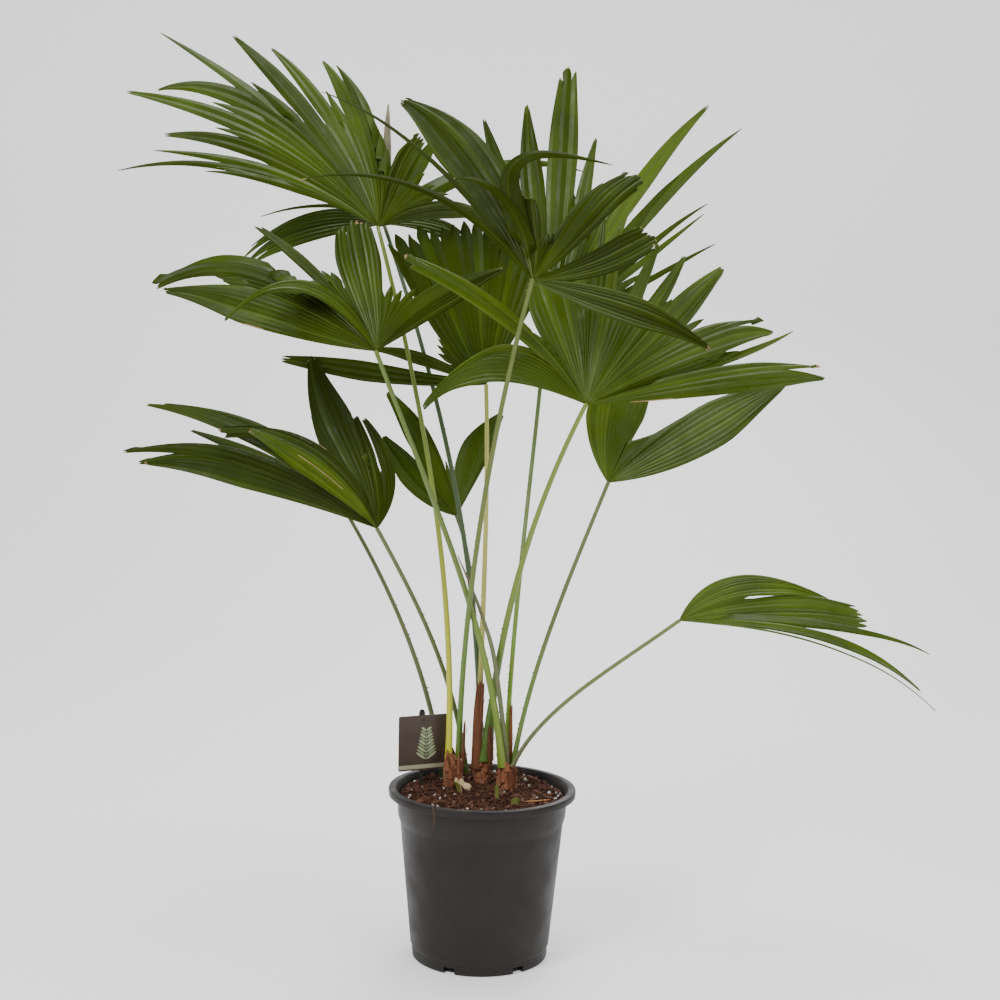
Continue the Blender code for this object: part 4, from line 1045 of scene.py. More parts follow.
def build_stalk(key, frond, sizes, material, thorn_material, random):
    foot_radius = frond.thick * MM
    path = [np.array(p) for p in (*frond.path, frond.hub)]
    path[3] = path[3] + unit(path[3] - through(path, 0.98)) * STALK_RUNS_ON.get(key, LEAST_RUN_ON) * MM
    rows, sides = 56, 16
    shares = np.linspace(0, 1, rows)
    line = np.array([through(path, s) for s in shares])
    radii = (foot_radius + (STALK_TOP_RADIUS - foot_radius) * shares**0.6) * sizes.stalk_stoutness
    radii = radii * (1 + sizes.stalk_flare * np.exp(-shares * 24))
    outward = line[-1] - line[0]
    upward = unit(np.array([-outward[0], -outward[1], 0.6 * abs(outward[2])]))
    verts, quads = limb_rings(line, radii, sides, upward, half_round)
    wider, ends = CLASPS.get(key, (1.0, 0.1))
    widening = 1 + (wider - 1) * np.clip(1 - shares / ends, 0, 1) ** 0.7
    right = frames_along(line, upward)[2]
    offsets = verts[:rows * sides].reshape(rows, sides, 3) - line[:, None]
    sideways = (offsets * right[:, None]).sum(axis=2) * (widening - 1)[:, None]
    verts[:rows * sides] += (right[:, None] * sideways[..., None]).reshape(-1, 3)
    across = np.tile(np.arange(sides) / sides, rows - 1)
    low = np.repeat(shares[:-1], sides)
    high = np.repeat(shares[1:], sides)
    uv = np.stack([np.stack([across, low], -1), np.stack([across, high], -1),
                   np.stack([across + 1 / sides, high], -1), np.stack([across + 1 / sides, low], -1)], axis=1)
    uv = np.concatenate([uv, np.tile([[[0.5, 1.0]]], (sides // 2, 4, 1))])
    thorns = thorn_set(line, radii, upward, THORNY[key] * sizes.thorn_length, random)
    verts, quads, counts = joined_sets([(verts, quads), thorns])
    uv = np.concatenate([uv, np.tile([[[0.5, 0.5]]], (counts[1], 4, 1))])
    slots = np.repeat([0, 1], counts)
    piece = quad_mesh(f"stalk_{key}", verts, quads, [material, thorn_material], slots, maps={"length": uv})
    return finished(piece, "petiole", f"petiole_{key}")


def thorn_set(line, radii, upward, length, random):
    """Small back-curved thorns along both edges of the lower two thirds of a stalk."""
    along, up, right = frames_along(line, upward)
    steps = np.linalg.norm(np.diff(line, axis=0), axis=1)
    reach = np.concatenate([[0], np.cumsum(steps)])
    sets = []
    place = 0.03
    while place < reach[-1] * 0.66:
        i = min(int(np.searchsorted(reach, place)), len(line) - 2)
        side = random.choice((-1, 1))
        out = unit(up[i] * 0.75 + right[i] * side)
        root = line[i] + out * radii[i] * 0.86
        size = length * random.uniform(0.6, 1.15) * (1 - 0.45 * place / reach[-1])
        tip = root + out * size - along[i] * size * random.uniform(0.1, 0.7)
        wide = unit(np.cross(out, along[i])) * THORN_HALF_WIDTH
        tall = along[i] * THORN_HALF_HEIGHT
        base = [root + wide, root + tall, root - wide, root - tall]
        top = [tip + (p - root) * 0.12 for p in base]
        quads = [(0, 1, 5, 4), (1, 2, 6, 5), (2, 3, 7, 6), (3, 0, 4, 7), (4, 5, 6, 7)]
        sets.append((np.array(base + top), np.array(quads)))
        place += random.uniform(0.007, 0.019)
    verts, quads, _ = joined_sets(sets)
    return verts, quads


def build_spear(material, tip_material):
    """The unopened leaf: a lance of closed pleats on its slim stalk, with a dry tip."""
    rows, sides, pleats, last_green = 60, 32, 8, 47
    line = smooth_path([p for p, _ in SPEAR], rows)
    radii = np.interp(np.linspace(0, 1, rows), np.linspace(0, 1, len(SPEAR)), [r for _, r in SPEAR])
    shape = lambda a: 1.0 + 0.16 * math.cos(pleats * a)
    verts, quads = limb_rings(line, radii * 0.95, sides, (0.2, -1.0, 0.3), shape)
    row = np.repeat(np.arange(rows - 1), sides)
    slots = np.concatenate([np.where(row > last_green, 1, 0), np.ones(sides // 2, int)])
    across = np.tile(np.arange(sides) / sides, rows - 1)
    uv = np.stack([np.stack([across, row / (rows - 1)], -1)] * 4, axis=1)
    uv[:, 1:3, 1] += 1 / (rows - 1)
    uv[:, 2:, 0] += 1 / sides
    uv = np.concatenate([uv, np.full((sides // 2, 4, 2), 0.99)])
    piece = quad_mesh("spear", verts, quads, [material, tip_material], slots, maps={"length": uv})
    return finished(piece, "spear_leaf", "spear_leaf")


# Stems, sheaths, stubs and fibres


def strip_set(rows, facing, columns, count, sag, ragged, thickness, random, twist=0.0):
    """A thin curved strip along rows of (x, y, z, half width), with a torn upper end."""
    facing = unit(np.array(facing, float))
    line = smooth_path([row[:3] for row in rows], count)
    wide = smooth_path([(row[3], 0, 0) for row in rows], count)[:, 0]
    u = np.linspace(-1, 1, columns)
    turn = np.linspace(0, twist, count)
    across0 = unit(np.cross(facing, (0.0, 0.0, 1.0)))
    verts = np.zeros((count, columns, 3))
    for i in range(count):
        across = across0 * math.cos(turn[i]) - facing * math.sin(turn[i])
        front = facing * math.cos(turn[i]) + across0 * math.sin(turn[i])
        bowl = -front[None] * (sag * wide[i] * u * u)[:, None]
        verts[i] = line[i] + across[None] * (u * wide[i])[:, None] + bowl
    tear = random.uniform(0, 1, columns) * ragged
    rise = np.linspace(0, 1, count)[:, None] ** 3
    verts[..., 2] -= rise * tear[None]
    ripple = random.uniform(-1, 1, (count, columns)) * 0.00025
    verts += facing * ripple[..., None]
    number = np.arange(count * columns).reshape(count, columns)
    quads = np.stack([number[:-1, :-1], number[:-1, 1:], number[1:, 1:], number[1:, :-1]], -1).reshape(-1, 4)
    v = np.linspace(0, 1, count)
    u_map = np.tile(np.linspace(0, 1, columns), (count, 1))
    grid = np.stack([u_map, np.tile(v[:, None], (1, columns))], axis=-1)
    flat = grid.reshape(-1, 2)[quads]
    verts, every, owner = thickened(verts.reshape(-1, 3), quads, thickness)
    return verts, every, np.concatenate([flat, flat[:, ::-1], flat[owner]])


def strips_piece(name, strips, material):
    verts, quads, _ = joined_sets([(v, q) for v, q, _ in strips])
    return quad_mesh(name, verts, quads, [material], maps={"length": np.concatenate([m for *_, m in strips])})


def build_stem(key, stem, material, scale_material, random):
    """A short stem with rings of old leaf scars, and the pointed remains of leaf bases round its top."""
    rows, sides = 40, 48
    height = stem.top - MIX_LEVEL + 0.006
    t = np.linspace(0, 1, rows)
    line = np.array([(stem.x, stem.y, MIX_LEVEL - 0.006 + height * s) for s in t])
    radii = (stem.foot_radius + (stem.top_radius - stem.foot_radius) * t) * (1 - STEM_NARROWS * t)
    verts, quads = limb_rings(line, radii, sides, (0.0, -1.0, 0.0), cap=True)
    axis = np.array([stem.x, stem.y, 0.0])
    for i, point in enumerate(verts[:rows * sides]):
        out = unit((point - axis) * (1, 1, 0))
        ring = 0.0007 * abs(math.sin(point[2] * 620 + 2 * wander(point, 60, stem.top_radius * 900)))
        verts[i] = point + out * (ring - 0.0008 + 0.0009 * wander(point, 170, 3))
    body = quad_mesh(f"stem_core_{key}", verts, quads, [material])
    finished(body, "stem", f"stem_{key}")
    strips = []
    for i in range(16):
        angle = i * 2.4 + random.uniform(-0.3, 0.3)
        low = MIX_LEVEL + 0.002 + 0.0018 * i
        top = stem.top + random.uniform(-0.006, 0.016)
        near = stem.foot_radius + 0.0003 + 0.00008 * i
        lean = random.uniform(-0.45, 0.45)
        rows4 = []
        for share, inward, w in SCALE_ROWS:
            a = angle + lean * share
            r = near - inward
            rows4.append((stem.x + math.cos(a) * r, stem.y + math.sin(a) * r, low + (top - low) * share, w))
        facing = (math.cos(angle + lean / 2), math.sin(angle + lean / 2), 0)
        twist = random.uniform(-0.35, 0.35)
        strips.append(strip_set(rows4, facing, 7, 14, 0.5, 0.004, 0.0005, random, twist=twist))
    scales = strips_piece(f"stem_scales_{key}", strips, scale_material)
    return finished(scales, "stem")


def build_weave(material, random):
    """The net of fibres that crosses over each stem in both directions."""
    sets = []
    for stem in STEMS.values():
        for i in range(56):
            angle, turn = random.uniform(0, 2 * math.pi), (0.9 if i % 2 else -0.9) * random.uniform(0.7, 1.2)
            low = MIX_LEVEL + random.uniform(-0.003, 0.022)
            tall = random.uniform(0.009, 0.016)
            points = []
            for share in np.linspace(0, 1, 5):
                z = low + tall * share
                narrow = 1 - STEM_NARROWS * np.clip((z - MIX_LEVEL) / (stem.top - MIX_LEVEL), 0, 1)
                r = stem.foot_radius * narrow + 0.0009 + random.uniform(-0.0002, 0.0006)
                a = angle + turn * share
                points.append((stem.x + r * math.cos(a), stem.y + r * math.sin(a), z))
            sets.append(thread(points, random.uniform(0.00022, 0.00042), 4, 9))
    verts, quads, _ = joined_sets(sets)
    uv = np.full((len(quads), 4, 2), 0.5)
    return finished(quad_mesh("stem_weave", verts, quads, [material], maps={"length": uv}), "stem")


def build_sheath(key, facing, rows, material, random):
    """A dry papery sheath with a torn edge, and loose fibres along its sides."""
    main = strip_set(rows, facing, 11, 30, 0.35, 0.009, 0.0006, random, twist=random.uniform(-0.3, 0.3))
    sets = [main]
    facing3 = unit(np.array(facing, float))
    across = unit(np.cross(facing3, (0.0, 0.0, 1.0)))
    for _ in range(6):
        i = random.integers(0, len(rows) - 1)
        share = random.uniform(0, 1)
        side = random.choice((-1, 1))
        low = np.array(rows[i][:3]) * (1 - share) + np.array(rows[i + 1][:3]) * share
        start = low + across * side * rows[i][3] * 0.95
        out = across * side * random.uniform(0.0005, 0.003) + facing3 * random.uniform(0.0, 0.002)
        rise = random.uniform(0.008, 0.014)
        points = [start, start + out * 0.6 + (0, 0, 0.005), start + out + (0, 0, rise)]
        verts, quads = thread(points, 0.00025, 4, 9)
        sets.append((verts, quads, np.full((len(quads), 4, 2), 0.5)))
    return finished(strips_piece(f"dry_{key}", sets, material), "dry_sheath", f"sheath_{key}")


def trough_set(foot, top, radius, random):
    """A clasping leaf base, cut off: a thick wall bent round one side only, with a jagged upper edge."""
    columns, rows = 29, 12
    turn = np.linspace(-2.0, 2.0, columns) + STUB_BACK
    t = np.linspace(0, 1, rows)[:, None]
    low = np.array([*foot, MIX_LEVEL - 0.004])
    high = np.array(top)
    jag = np.repeat(random.uniform(-0.0022, 0.0016, columns // 3 + 1), 3)[:columns]
    edge = 0.0035 * np.cos(turn - STUB_BACK - 0.9) - 0.0016 + jag
    faces = []
    for wall in (0.0, STUB_WALL):
        r = radius * (0.62 + 0.45 * t) - wall * (1.0 - 0.35 * t)
        place = low[None, None] + (high - low)[None, None] * t[..., None]
        ring = np.stack([np.cos(turn)[None] * r, np.sin(turn)[None] * r, np.zeros((rows, columns))], axis=-1)
        ring[..., 2] = (edge[None] - 0.0009 * (wall > 0)) * t**3
        faces.append((place + ring).reshape(-1, 3))
    verts = np.vstack(faces)
    number = np.arange(2 * rows * columns).reshape(2, rows, columns)
    outer, inner = number
    skin = np.stack([outer[:-1, :-1], outer[:-1, 1:], outer[1:, 1:], outer[1:, :-1]], -1).reshape(-1, 4)
    lining = np.stack([inner[:-1, 1:], inner[:-1, :-1], inner[1:, :-1], inner[1:, 1:]], -1).reshape(-1, 4)
    cut = np.stack([outer[-1, :-1], outer[-1, 1:], inner[-1, 1:], inner[-1, :-1]], -1)
    under = np.stack([outer[0, 1:], outer[0, :-1], inner[0, :-1], inner[0, 1:]], -1)
    ends = [np.stack([outer[1:, c], outer[:-1, c], inner[:-1, c], inner[1:, c]], -1)[:, ::step]
            for c, step in ((0, -1), (-1, 1))]
    quads = np.vstack([skin, lining, cut, under, *ends])
    slots = np.repeat([0, 1], [len(skin), len(quads) - len(skin)])
    uv = np.stack([np.stack([verts[quads, 0] * 40, (verts[quads, 2] - MIX_LEVEL) * 20], -1)], 0)[0]
    return verts, quads, slots, uv


def build_stubs(cut_material, skin_material, random):
    """Cut-off leaf bases: a green skin round a pale, slanting cut."""
    skins = [skin_material, cut_material]
    foot, top, _, top_radius = STUBS["thick"]
    verts, quads, slots, uv = trough_set(foot, top, top_radius, random)
    piece = quad_mesh("cut_thick", verts, quads, skins, slots, maps={"length": uv}, sharp_deg=40)
    finished(piece, "stub", "stub_thick")
    for key, (foot, top, foot_radius, top_radius) in STUBS.items():
        if key == "thick":
            continue
        rows, sides = 16, 24
        start = np.array([*foot, MIX_LEVEL - 0.004])
        end = np.array(top)
        t = np.linspace(0, 1, rows)
        line = start + (end - start) * t[:, None]
        verts, quads = limb_rings(line, foot_radius + (top_radius - foot_radius) * t, sides, (0.3, -1.0, 0.0))
        slant = np.array([0.25, -0.5])
        rising = np.clip((verts[:, 2] - start[2]) / (end[2] - start[2]), 0, 1.05) ** 4
        verts[:, 2] += rising * ((verts[:, :2] - end[:2]) @ slant)
        verts[-1, 2] -= 0.35 * top_radius
        slots = np.concatenate([np.zeros(len(quads) - sides // 2, int), np.ones(sides // 2, int)])
        angles = np.tile(np.arange(sides) / sides, rows - 1)
        uv = np.stack([np.stack([angles, np.repeat(t[:-1], sides)], -1)] * 4, axis=1)
        uv = np.concatenate([uv, np.full((sides // 2, 4, 2), 0.7)])
        piece = quad_mesh(f"cut_{key}", verts, quads, skins, slots, maps={"length": uv}, sharp_deg=40)
        finished(piece, "stub", f"stub_{key}")


def build_fibres(amounts, material, random):
    """Dead curly fibres round the stems, and a few roots that hang over the pot's rim."""
    sets = []
    for stem in STEMS.values():
        for _ in range(amounts.stem_fibres):
            angle = random.uniform(0, 2 * math.pi)
            near = stem.foot_radius * random.uniform(0.95, 1.25)
            point = np.array([stem.x + near * math.cos(angle), stem.y + near * math.sin(angle),
                              stem.top + random.uniform(-0.030, 0.004)])
            points = [point]
            heading = np.array([math.cos(angle) * 0.3, math.sin(angle) * 0.3, random.uniform(-0.4, 1.0)])
            for _ in range(4):
                heading = unit(heading + random.normal(0, 0.55, 3))
                points.append(points[-1] + heading * random.uniform(0.003, 0.007))
            sets.append(thread(points, random.uniform(0.0002, 0.00045), 4, 14))
    for x, drop in ((-0.0545, 0.020), (-0.0560, 0.032)):
        rim = -math.sqrt(RIM_RADIUS**2 - x * x)
        points = [
            (x + 0.010, rim + 0.030, 0.2010), (x + 0.003, rim + 0.013, 0.2020), (x, rim + 0.005, 0.2112),
            (x - 0.001, rim - 0.0014, POT_HEIGHT), (x + 0.001, rim - 0.0016, POT_HEIGHT - 0.5 * drop),
            (x - 0.002, rim + 0.0012, POT_HEIGHT - drop),
        ]
        sets.append(thread(points, 0.00028, 5, 36))
    verts, quads, _ = joined_sets(sets)
    uv = np.full((len(quads), 4, 2), 0.5)
    finished(quad_mesh("loose_fibres", verts, quads, [material], maps={"length": uv}), "dry_sheath")


# Pot and potting mix


def pot_profile():
    lip_inner = RIM_RADIUS - LIP_WIDTH
    return [
        (0.0, FLOOR_THICK), (FOOT_RADIUS - WALL_THICK - 0.002, FLOOR_THICK),
        (FOOT_RADIUS - WALL_THICK, FLOOR_THICK + 0.002), (WALL_LOW_RADIUS - WALL_THICK, WALL_LOW + 0.002),
        (WALL_TOP_RADIUS - WALL_THICK, WALL_TOP), (COLLAR_LOW_RADIUS - WALL_THICK, COLLAR_LOW),
        (lip_inner - 0.003, POT_HEIGHT - 0.006), (lip_inner, POT_HEIGHT - 0.0014),
        (lip_inner + 0.0006, POT_HEIGHT - 0.0005), (lip_inner + 0.0018, POT_HEIGHT),
        (RIM_RADIUS - 0.0022, POT_HEIGHT), (RIM_RADIUS - 0.0008, POT_HEIGHT - 0.0006),
        (RIM_RADIUS - 0.0001, POT_HEIGHT - 0.0022), (RIM_RADIUS, POT_HEIGHT - 0.0040),
        (RIM_RADIUS - 0.0004, POT_HEIGHT - LIP_DROP + 0.0006), (RIM_RADIUS - 0.0010, POT_HEIGHT - LIP_DROP),
        (RIM_RADIUS - LIP_THICK, POT_HEIGHT - LIP_DROP),
        (RIM_RADIUS - LIP_THICK - 0.0005, POT_HEIGHT - 0.0035),
        (COLLAR_TOP_RADIUS + 0.0012, POT_HEIGHT - 0.0045), (COLLAR_TOP_RADIUS + 0.0003, POT_HEIGHT - 0.0060),
        (COLLAR_TOP_RADIUS, POT_HEIGHT - 0.0085),
        (COLLAR_LOW_RADIUS + 0.0002, COLLAR_LOW + 0.0012), (COLLAR_LOW_RADIUS - 0.0004, COLLAR_LOW - 0.0002),
        (WALL_TOP_RADIUS + 0.0016, WALL_TOP + 0.0035), (WALL_TOP_RADIUS + 0.0003, WALL_TOP + 0.0006),
        (WALL_TOP_RADIUS, WALL_TOP - 0.0015),
        (0.5 * (WALL_TOP_RADIUS + WALL_LOW_RADIUS), 0.5 * (WALL_TOP + WALL_LOW)),
        (WALL_LOW_RADIUS, WALL_LOW), (WALL_LOW_RADIUS - 0.0003, WALL_LOW - 0.0015),
        (FOOT_RADIUS + 0.0002, WALL_LOW - 0.0045), (FOOT_RADIUS, WALL_LOW - 0.006),
        (FOOT_RADIUS - 0.0002, 0.0022), (FOOT_RADIUS - 0.0008, 0.0006),
        (FOOT_RADIUS - 0.0020, 0.0), (0.0, 0.0),
    ]


def build_pot(steps, material):
    """The nursery pot: a turned profile with a lip, a collar and a notched foot."""
    profile = pot_profile()
    mesh = bpy.data.meshes.new("nursery_pot")
    mesh.from_pydata([(r, 0.0, z) for r, z in profile], [(i, i + 1) for i in range(len(profile) - 1)], [])
    pot = bpy.data.objects.new("nursery_pot", mesh)
    bpy.context.scene.collection.objects.link(pot)
    turn = pot.modifiers.new("turn", "SCREW")
    turn.axis = "Z"
    turn.steps = turn.render_steps = steps
    turn.use_merge_vertices = True
    turn.merge_threshold = 0.00001
    cutters = []
    for i in range(NOTCH_COUNT):
        angle = math.radians(NOTCH_FIRST_DEG + i * 360 / NOTCH_COUNT)
        bpy.ops.mesh.primitive_cube_add(size=1.0)
        cutter = bpy.context.object
        cutter.scale = NOTCH_SIZE
        cutter.rotation_euler = (0, 0, angle)
        cutter.location = (math.cos(angle) * FOOT_RADIUS, math.sin(angle) * FOOT_RADIUS, 0.0)
        cut = pot.modifiers.new(f"notch_{i}", "BOOLEAN")
        cut.operation = "DIFFERENCE"
        cut.solver = "EXACT"
        cut.object = cutter
        cutters.append(cutter)
    bpy.context.view_layer.update()
    made = applied(pot)
    for cutter in cutters:
        bpy.data.objects.remove(cutter)
    made.name = "nursery_pot"
    made.data.materials.clear()
    made.data.materials.append(material)
    made.data.polygons.foreach_set("use_smooth", [True] * len(made.data.polygons))
    made.data.set_sharp_from_angle(angle=math.radians(38))
    return finished(made, "pot", "pot")


def mix_height(x, y):
    """The uneven top of the potting mix, a little higher round the stems."""
    r = math.hypot(x, y)
    heap = 0.0035 * math.exp(-((x / 0.05) ** 2 + ((y - 0.02) / 0.045) ** 2))
    lumps = 0.0026 * wander((x, y, 0), 38, 1) + 0.0016 * wander((x, y, 0), 110, 2)
    return MIX_LEVEL + 0.0008 + heap + lumps + 0.040 * y + 0.003 * max(0.0, (r - 0.080) / 0.020)


def build_mix(material):
    rings, sides = 62, 176
    verts = [(0.0, 0.0, mix_height(0, 0))]
    radii = np.linspace(0, MIX_RADIUS, rings + 1)[1:]
    for r in radii:
        for i in range(sides):
            a = 2 * math.pi * i / sides
            x, y = r * math.cos(a), r * math.sin(a)
            verts.append((x, y, mix_height(x, y) + 0.0008 * wander((x, y, 0), 420, 4)))
    low = len(verts)
    turns = [2 * math.pi * i / sides for i in range(sides)]
    for z, r in ((0.170, 0.0972), (0.006, 0.0800)):
        verts += [(r * math.cos(a), r * math.sin(a), z) for a in turns]
    number = np.arange(1, low + 2 * sides).reshape(rings + 2, sides)
    after = np.roll(number, -1, axis=1)
    quads = np.stack([number[:-1], number[1:], after[1:], after[:-1]], -1).reshape(-1, 4)
    inner, lowest = number[0], number[-1]
    hub = [(0, inner[i], inner[(i + 1) % sides], inner[(i + 2) % sides]) for i in range(0, sides, 2)]
    bottom = [(lowest[i], lowest[i + 1], lowest[sides - i - 2], lowest[sides - i - 1])
              for i in range(sides // 2 - 1)]
    quads = np.vstack([quads, hub, bottom])
    return finished(quad_mesh("soil", verts, quads, [material]), "potting_mix", "potting_mix")


def scattered(count, sizes, lift, random, keep=None, steep=0.5):
    """Jittered blocks thrown on the mix: verts and faces of all of them together."""
    template = np.array([(x, y, z) for x in (-1, 1) for y in (-1, 1) for z in (-1, 1)], float) * 0.5
    faces = np.array([(0, 1, 3, 2), (4, 6, 7, 5), (0, 4, 5, 1), (2, 3, 7, 6), (0, 2, 6, 4), (1, 5, 7, 3)])
    sets = []
    while len(sets) < count:
        r, a = 0.0965 * math.sqrt(random.random()), random.uniform(0, 2 * math.pi)
        x, y = r * math.cos(a), r * math.sin(a)
        if keep is not None and random.random() > keep(x, y):
            continue
        size = np.array([random.uniform(*span) for span in sizes])
        block = (template + random.uniform(-0.16, 0.16, (8, 3))) * size
        tilt = Matrix.Rotation(random.uniform(0, 6.283), 3, "Z")
        for axis in "XY":
            tilt = tilt @ Matrix.Rotation(random.normal(0, steep), 3, axis)
        place = np.array([x, y, mix_height(x, y) + lift + 0.3 * size[2]])
        sets.append((block @ np.array(tilt).T + place, faces))
    verts, quads, _ = joined_sets(sets)
    return verts, quads


def build_litter(amounts, materials, random):
    """Crumbs, bark chips, perlite grains and coir threads on the potting mix."""
    near = lambda x, y: 0.35 + 0.65 * min(1.0, max(0.0, (math.hypot(x, y) - 0.04) / 0.05))
    kinds = (
        ("crumbs_dark", amounts.crumbs, ((0.0015, 0.0045), (0.001, 0.0035), (0.001, 0.0025)),
         0.0, "dark", None, 0.8),
        ("crumbs_red", amounts.crumbs // 2, ((0.0015, 0.0050), (0.001, 0.0030), (0.0008, 0.0020)),
         0.0006, "red", None, 0.8),
        ("bark_chips", amounts.chips, ((0.005, 0.013), (0.0025, 0.0055), (0.0008, 0.0020)),
         0.0010, "bark", None, 0.45),
        ("perlite", amounts.perlite, ((0.0012, 0.0034), (0.0012, 0.0030), (0.0010, 0.0026)),
         0.0012, "white", near, 0.8),
    )
    for name, count, sizes, lift, look, keep, steep in kinds:
        verts, quads = scattered(count, sizes, lift, random, keep, steep)
        piece = quad_mesh(name, verts, quads, [materials[look]], smooth=False)
        finished(piece, "potting_mix")
    sets = []
    for _ in range(amounts.threads):
        r, a = 0.092 * math.sqrt(random.random()), random.uniform(0, 6.283)
        point = np.array([r * math.cos(a), r * math.sin(a)])
        heading = random.uniform(0, 6.283)
        points = []
        for _ in range(5):
            points.append((*point, mix_height(*point) + random.uniform(0.0008, 0.0034)))
            heading += random.normal(0, 0.6)
            step = point + np.array([math.cos(heading), math.sin(heading)]) * random.uniform(0.003, 0.008)
            point = step if np.linalg.norm(step) < 0.094 else point * 0.9
        sets.append(thread(points, random.uniform(0.00016, 0.00034), 4, 12))
    places = ((0.052, -0.028), (0.066, -0.024), (0.084, -0.020))
    sliver = [(x, y, mix_height(x, y) + 0.0034) for x, y in places]
    verts, quads, _ = joined_sets(sets)
    finished(quad_mesh("coir_threads", verts, quads, [materials["thread"]]), "potting_mix")
    verts, quads = thread(sliver, 0.0016, 8, 20)
    verts[:, 2] = sliver[1][2] + (verts[:, 2] - sliver[1][2]) * 0.5
    finished(quad_mesh("bark_sliver", verts, quads, [materials["sliver"]]), "potting_mix")


# Tag


def rounded_plate(width, height, corner, steps=6):
    """Outline points of a plate with round corners."""
    outline = []
    for cx, cz, start in ((1, 1, 0), (-1, 1, 90), (-1, -1, 180), (1, -1, 270)):
        for i in range(steps + 1):
            a = math.radians(start + 90 * i / steps)
            x = cx * (width / 2 - corner) + corner * math.cos(a)
            outline.append((x, cz * (height / 2 - corner) + corner * math.sin(a)))
    return np.array(outline)


def plate_set(outline, front, back):
    """A flat plate between two depths from an outline with an even number of points, in (x, depth, z)."""
    count = len(outline)
    faces = [np.column_stack([outline[:, 0], np.full(count, d), outline[:, 1]]) for d in (front, back)]
    verts = np.vstack(faces)
    quads = [(i, (i + 1) % count, (i + 1) % count + count, i + count) for i in range(count)]
    for i in range(count // 2 - 1):
        quads.append((i, count - 1 - i, count - 2 - i, i + 1))
        quads.append((i + count, i + 1 + count, 2 * count - 2 - i, 2 * count - 1 - i))
    return verts, np.array(quads)


def oval(width, height, middle, turn, count=16):
    a = np.arange(count) * 2 * math.pi / count
    x, z = width / 2 * np.sign(np.cos(a)) * np.abs(np.cos(a)) ** 1.25, height / 2 * np.sin(a)
    c, s = math.cos(turn), math.sin(turn)
    return np.column_stack([middle[0] + x * c - z * s, middle[1] + x * s + z * c])


def build_tag(materials):
    """A bare dark card with a plain leafy sprig and a pale band, on a black stake with a knob."""
    low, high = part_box("tag_card")
    middle = (low + high) / 2
    turn = math.atan2(high.y - low.y, high.x - low.x)
    depth = 0.0010
    width = math.hypot(high.x - low.x, high.y - low.y) - depth * 0.4
    height = high.z - low.z
    sets = [(*plate_set(rounded_plate(width, height, 0.002), -depth / 2, depth / 2), 0)]
    face = -depth / 2 - 0.00012
    band = rounded_plate(width - 0.0004, 0.0052, 0.0008) + (0.0, -height / 2 + 0.0046)
    sets.append((*plate_set(band, face, face + 0.0001), 1))
    hole = oval(0.0052, 0.0050, (0.0, height / 2 - 0.0062), 0.0)
    for surface in (-depth / 2, depth / 2):
        sets.append((*plate_set(hole, surface - 0.00012, surface + 0.00012), 4))
    stem = rounded_plate(0.0009, 0.036, 0.0004) + (0.004, -0.004)
    sets.append((*plate_set(stem, face, face + 0.0001), 2))
    for i in range(9):
        z = -0.020 + 0.0042 * i
        long = 0.0155 - 0.0010 * i
        for side in (-1, 1):
            place = (0.004 + side * long * 0.46, z + 0.0035)
            leaf = oval(0.0031, long, place, -side * 0.95)
            sets.append((*plate_set(leaf, face - 0.00003, face + 0.0001), 2 + (i + side) % 2))
    verts, quads, counts = joined_sets([(v, q) for v, q, _ in sets])
    slots = np.repeat([m for *_, m in sets], counts)
    looks = [materials[k] for k in ("card", "band", "sprig", "sprig_pale", "stake")]
    card = quad_mesh("tag_face", verts, quads, looks, slots, smooth=False)
    card.matrix_world = Matrix.Translation(middle) @ Matrix.Rotation(turn, 4, "Z")
    finished(card, "tag_card", "tag_card")

    low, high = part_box("tag_stake")
    middle = (low + high) / 2
    knob = 0.0032
    tall = high.z - low.z - knob
    bar = rounded_plate(0.0078, tall, 0.0010)
    bar[:, 1] -= knob / 2
    pointed = bar.copy()
    deep = bar[:, 1] < -tall / 2 + 0.004
    pointed[deep, 0] *= 0.6
    ridge = rounded_plate(0.0018, tall * 0.96, 0.0008) - (0, knob / 2)
    sets = [plate_set(pointed, -0.0007, 0.0007), plate_set(ridge, 0.0007, 0.0012)]
    path = np.array([(0, y, high.z - knob - middle.z) for y in (-0.0016, -0.0013, 0.0, 0.0013, 0.0016)])
    sets.append(limb_rings(path, knob * np.array([0.82, 1, 1, 1, 0.82]), 20, (0, 0, 1)))
    verts, quads, _ = joined_sets(sets)
    stake = quad_mesh("stake", verts, quads, [materials["stake"]], sharp_deg=35)
    stake.matrix_world = Matrix.Translation(middle) @ Matrix.Rotation(turn, 4, "Z")
    finished(stake, "tag_stake", "tag_stake")


# Settings


class PalmFanSettings(bpy.types.PropertyGroup):
    leaflet_angle: FloatProperty(name="Leaflet angle", description="Degrees of a fan between two leaflets",
                                 default=4.8, min=2.0, max=8.0)
    blade_thickness: FloatProperty(name="Blade thickness", description="Thickness of the leaf blades",
                                   default=0.5 * MM, subtype="DISTANCE")
    pleat: FloatProperty(name="Pleat", description="Depth of the folds as a share of a leaflet's half width",
                         default=0.17, min=0.0, max=1.0)
    pleat_most: FloatProperty(name="Deepest pleat", description="Most that a fold may stand out",
                              default=2.0 * MM, subtype="DISTANCE")
    wave: FloatProperty(name="Wave", description="Height of the gentle waves along and across each lobe",
                        default=2.4 * MM, subtype="DISTANCE")
    tip_droop: FloatProperty(name="Tip droop", description="Most that a leaflet's tip hangs or turns aside",
                             default=7.0 * MM, subtype="DISTANCE")
    tip_jitter: FloatProperty(name="Tip jitter", default=0.035, min=0.0, max=0.2,
                              description="How unequal the lengths of neighbouring leaflets are")
    seed: IntProperty(name="Seed", description="Seed of the fans' small differences", default=11)


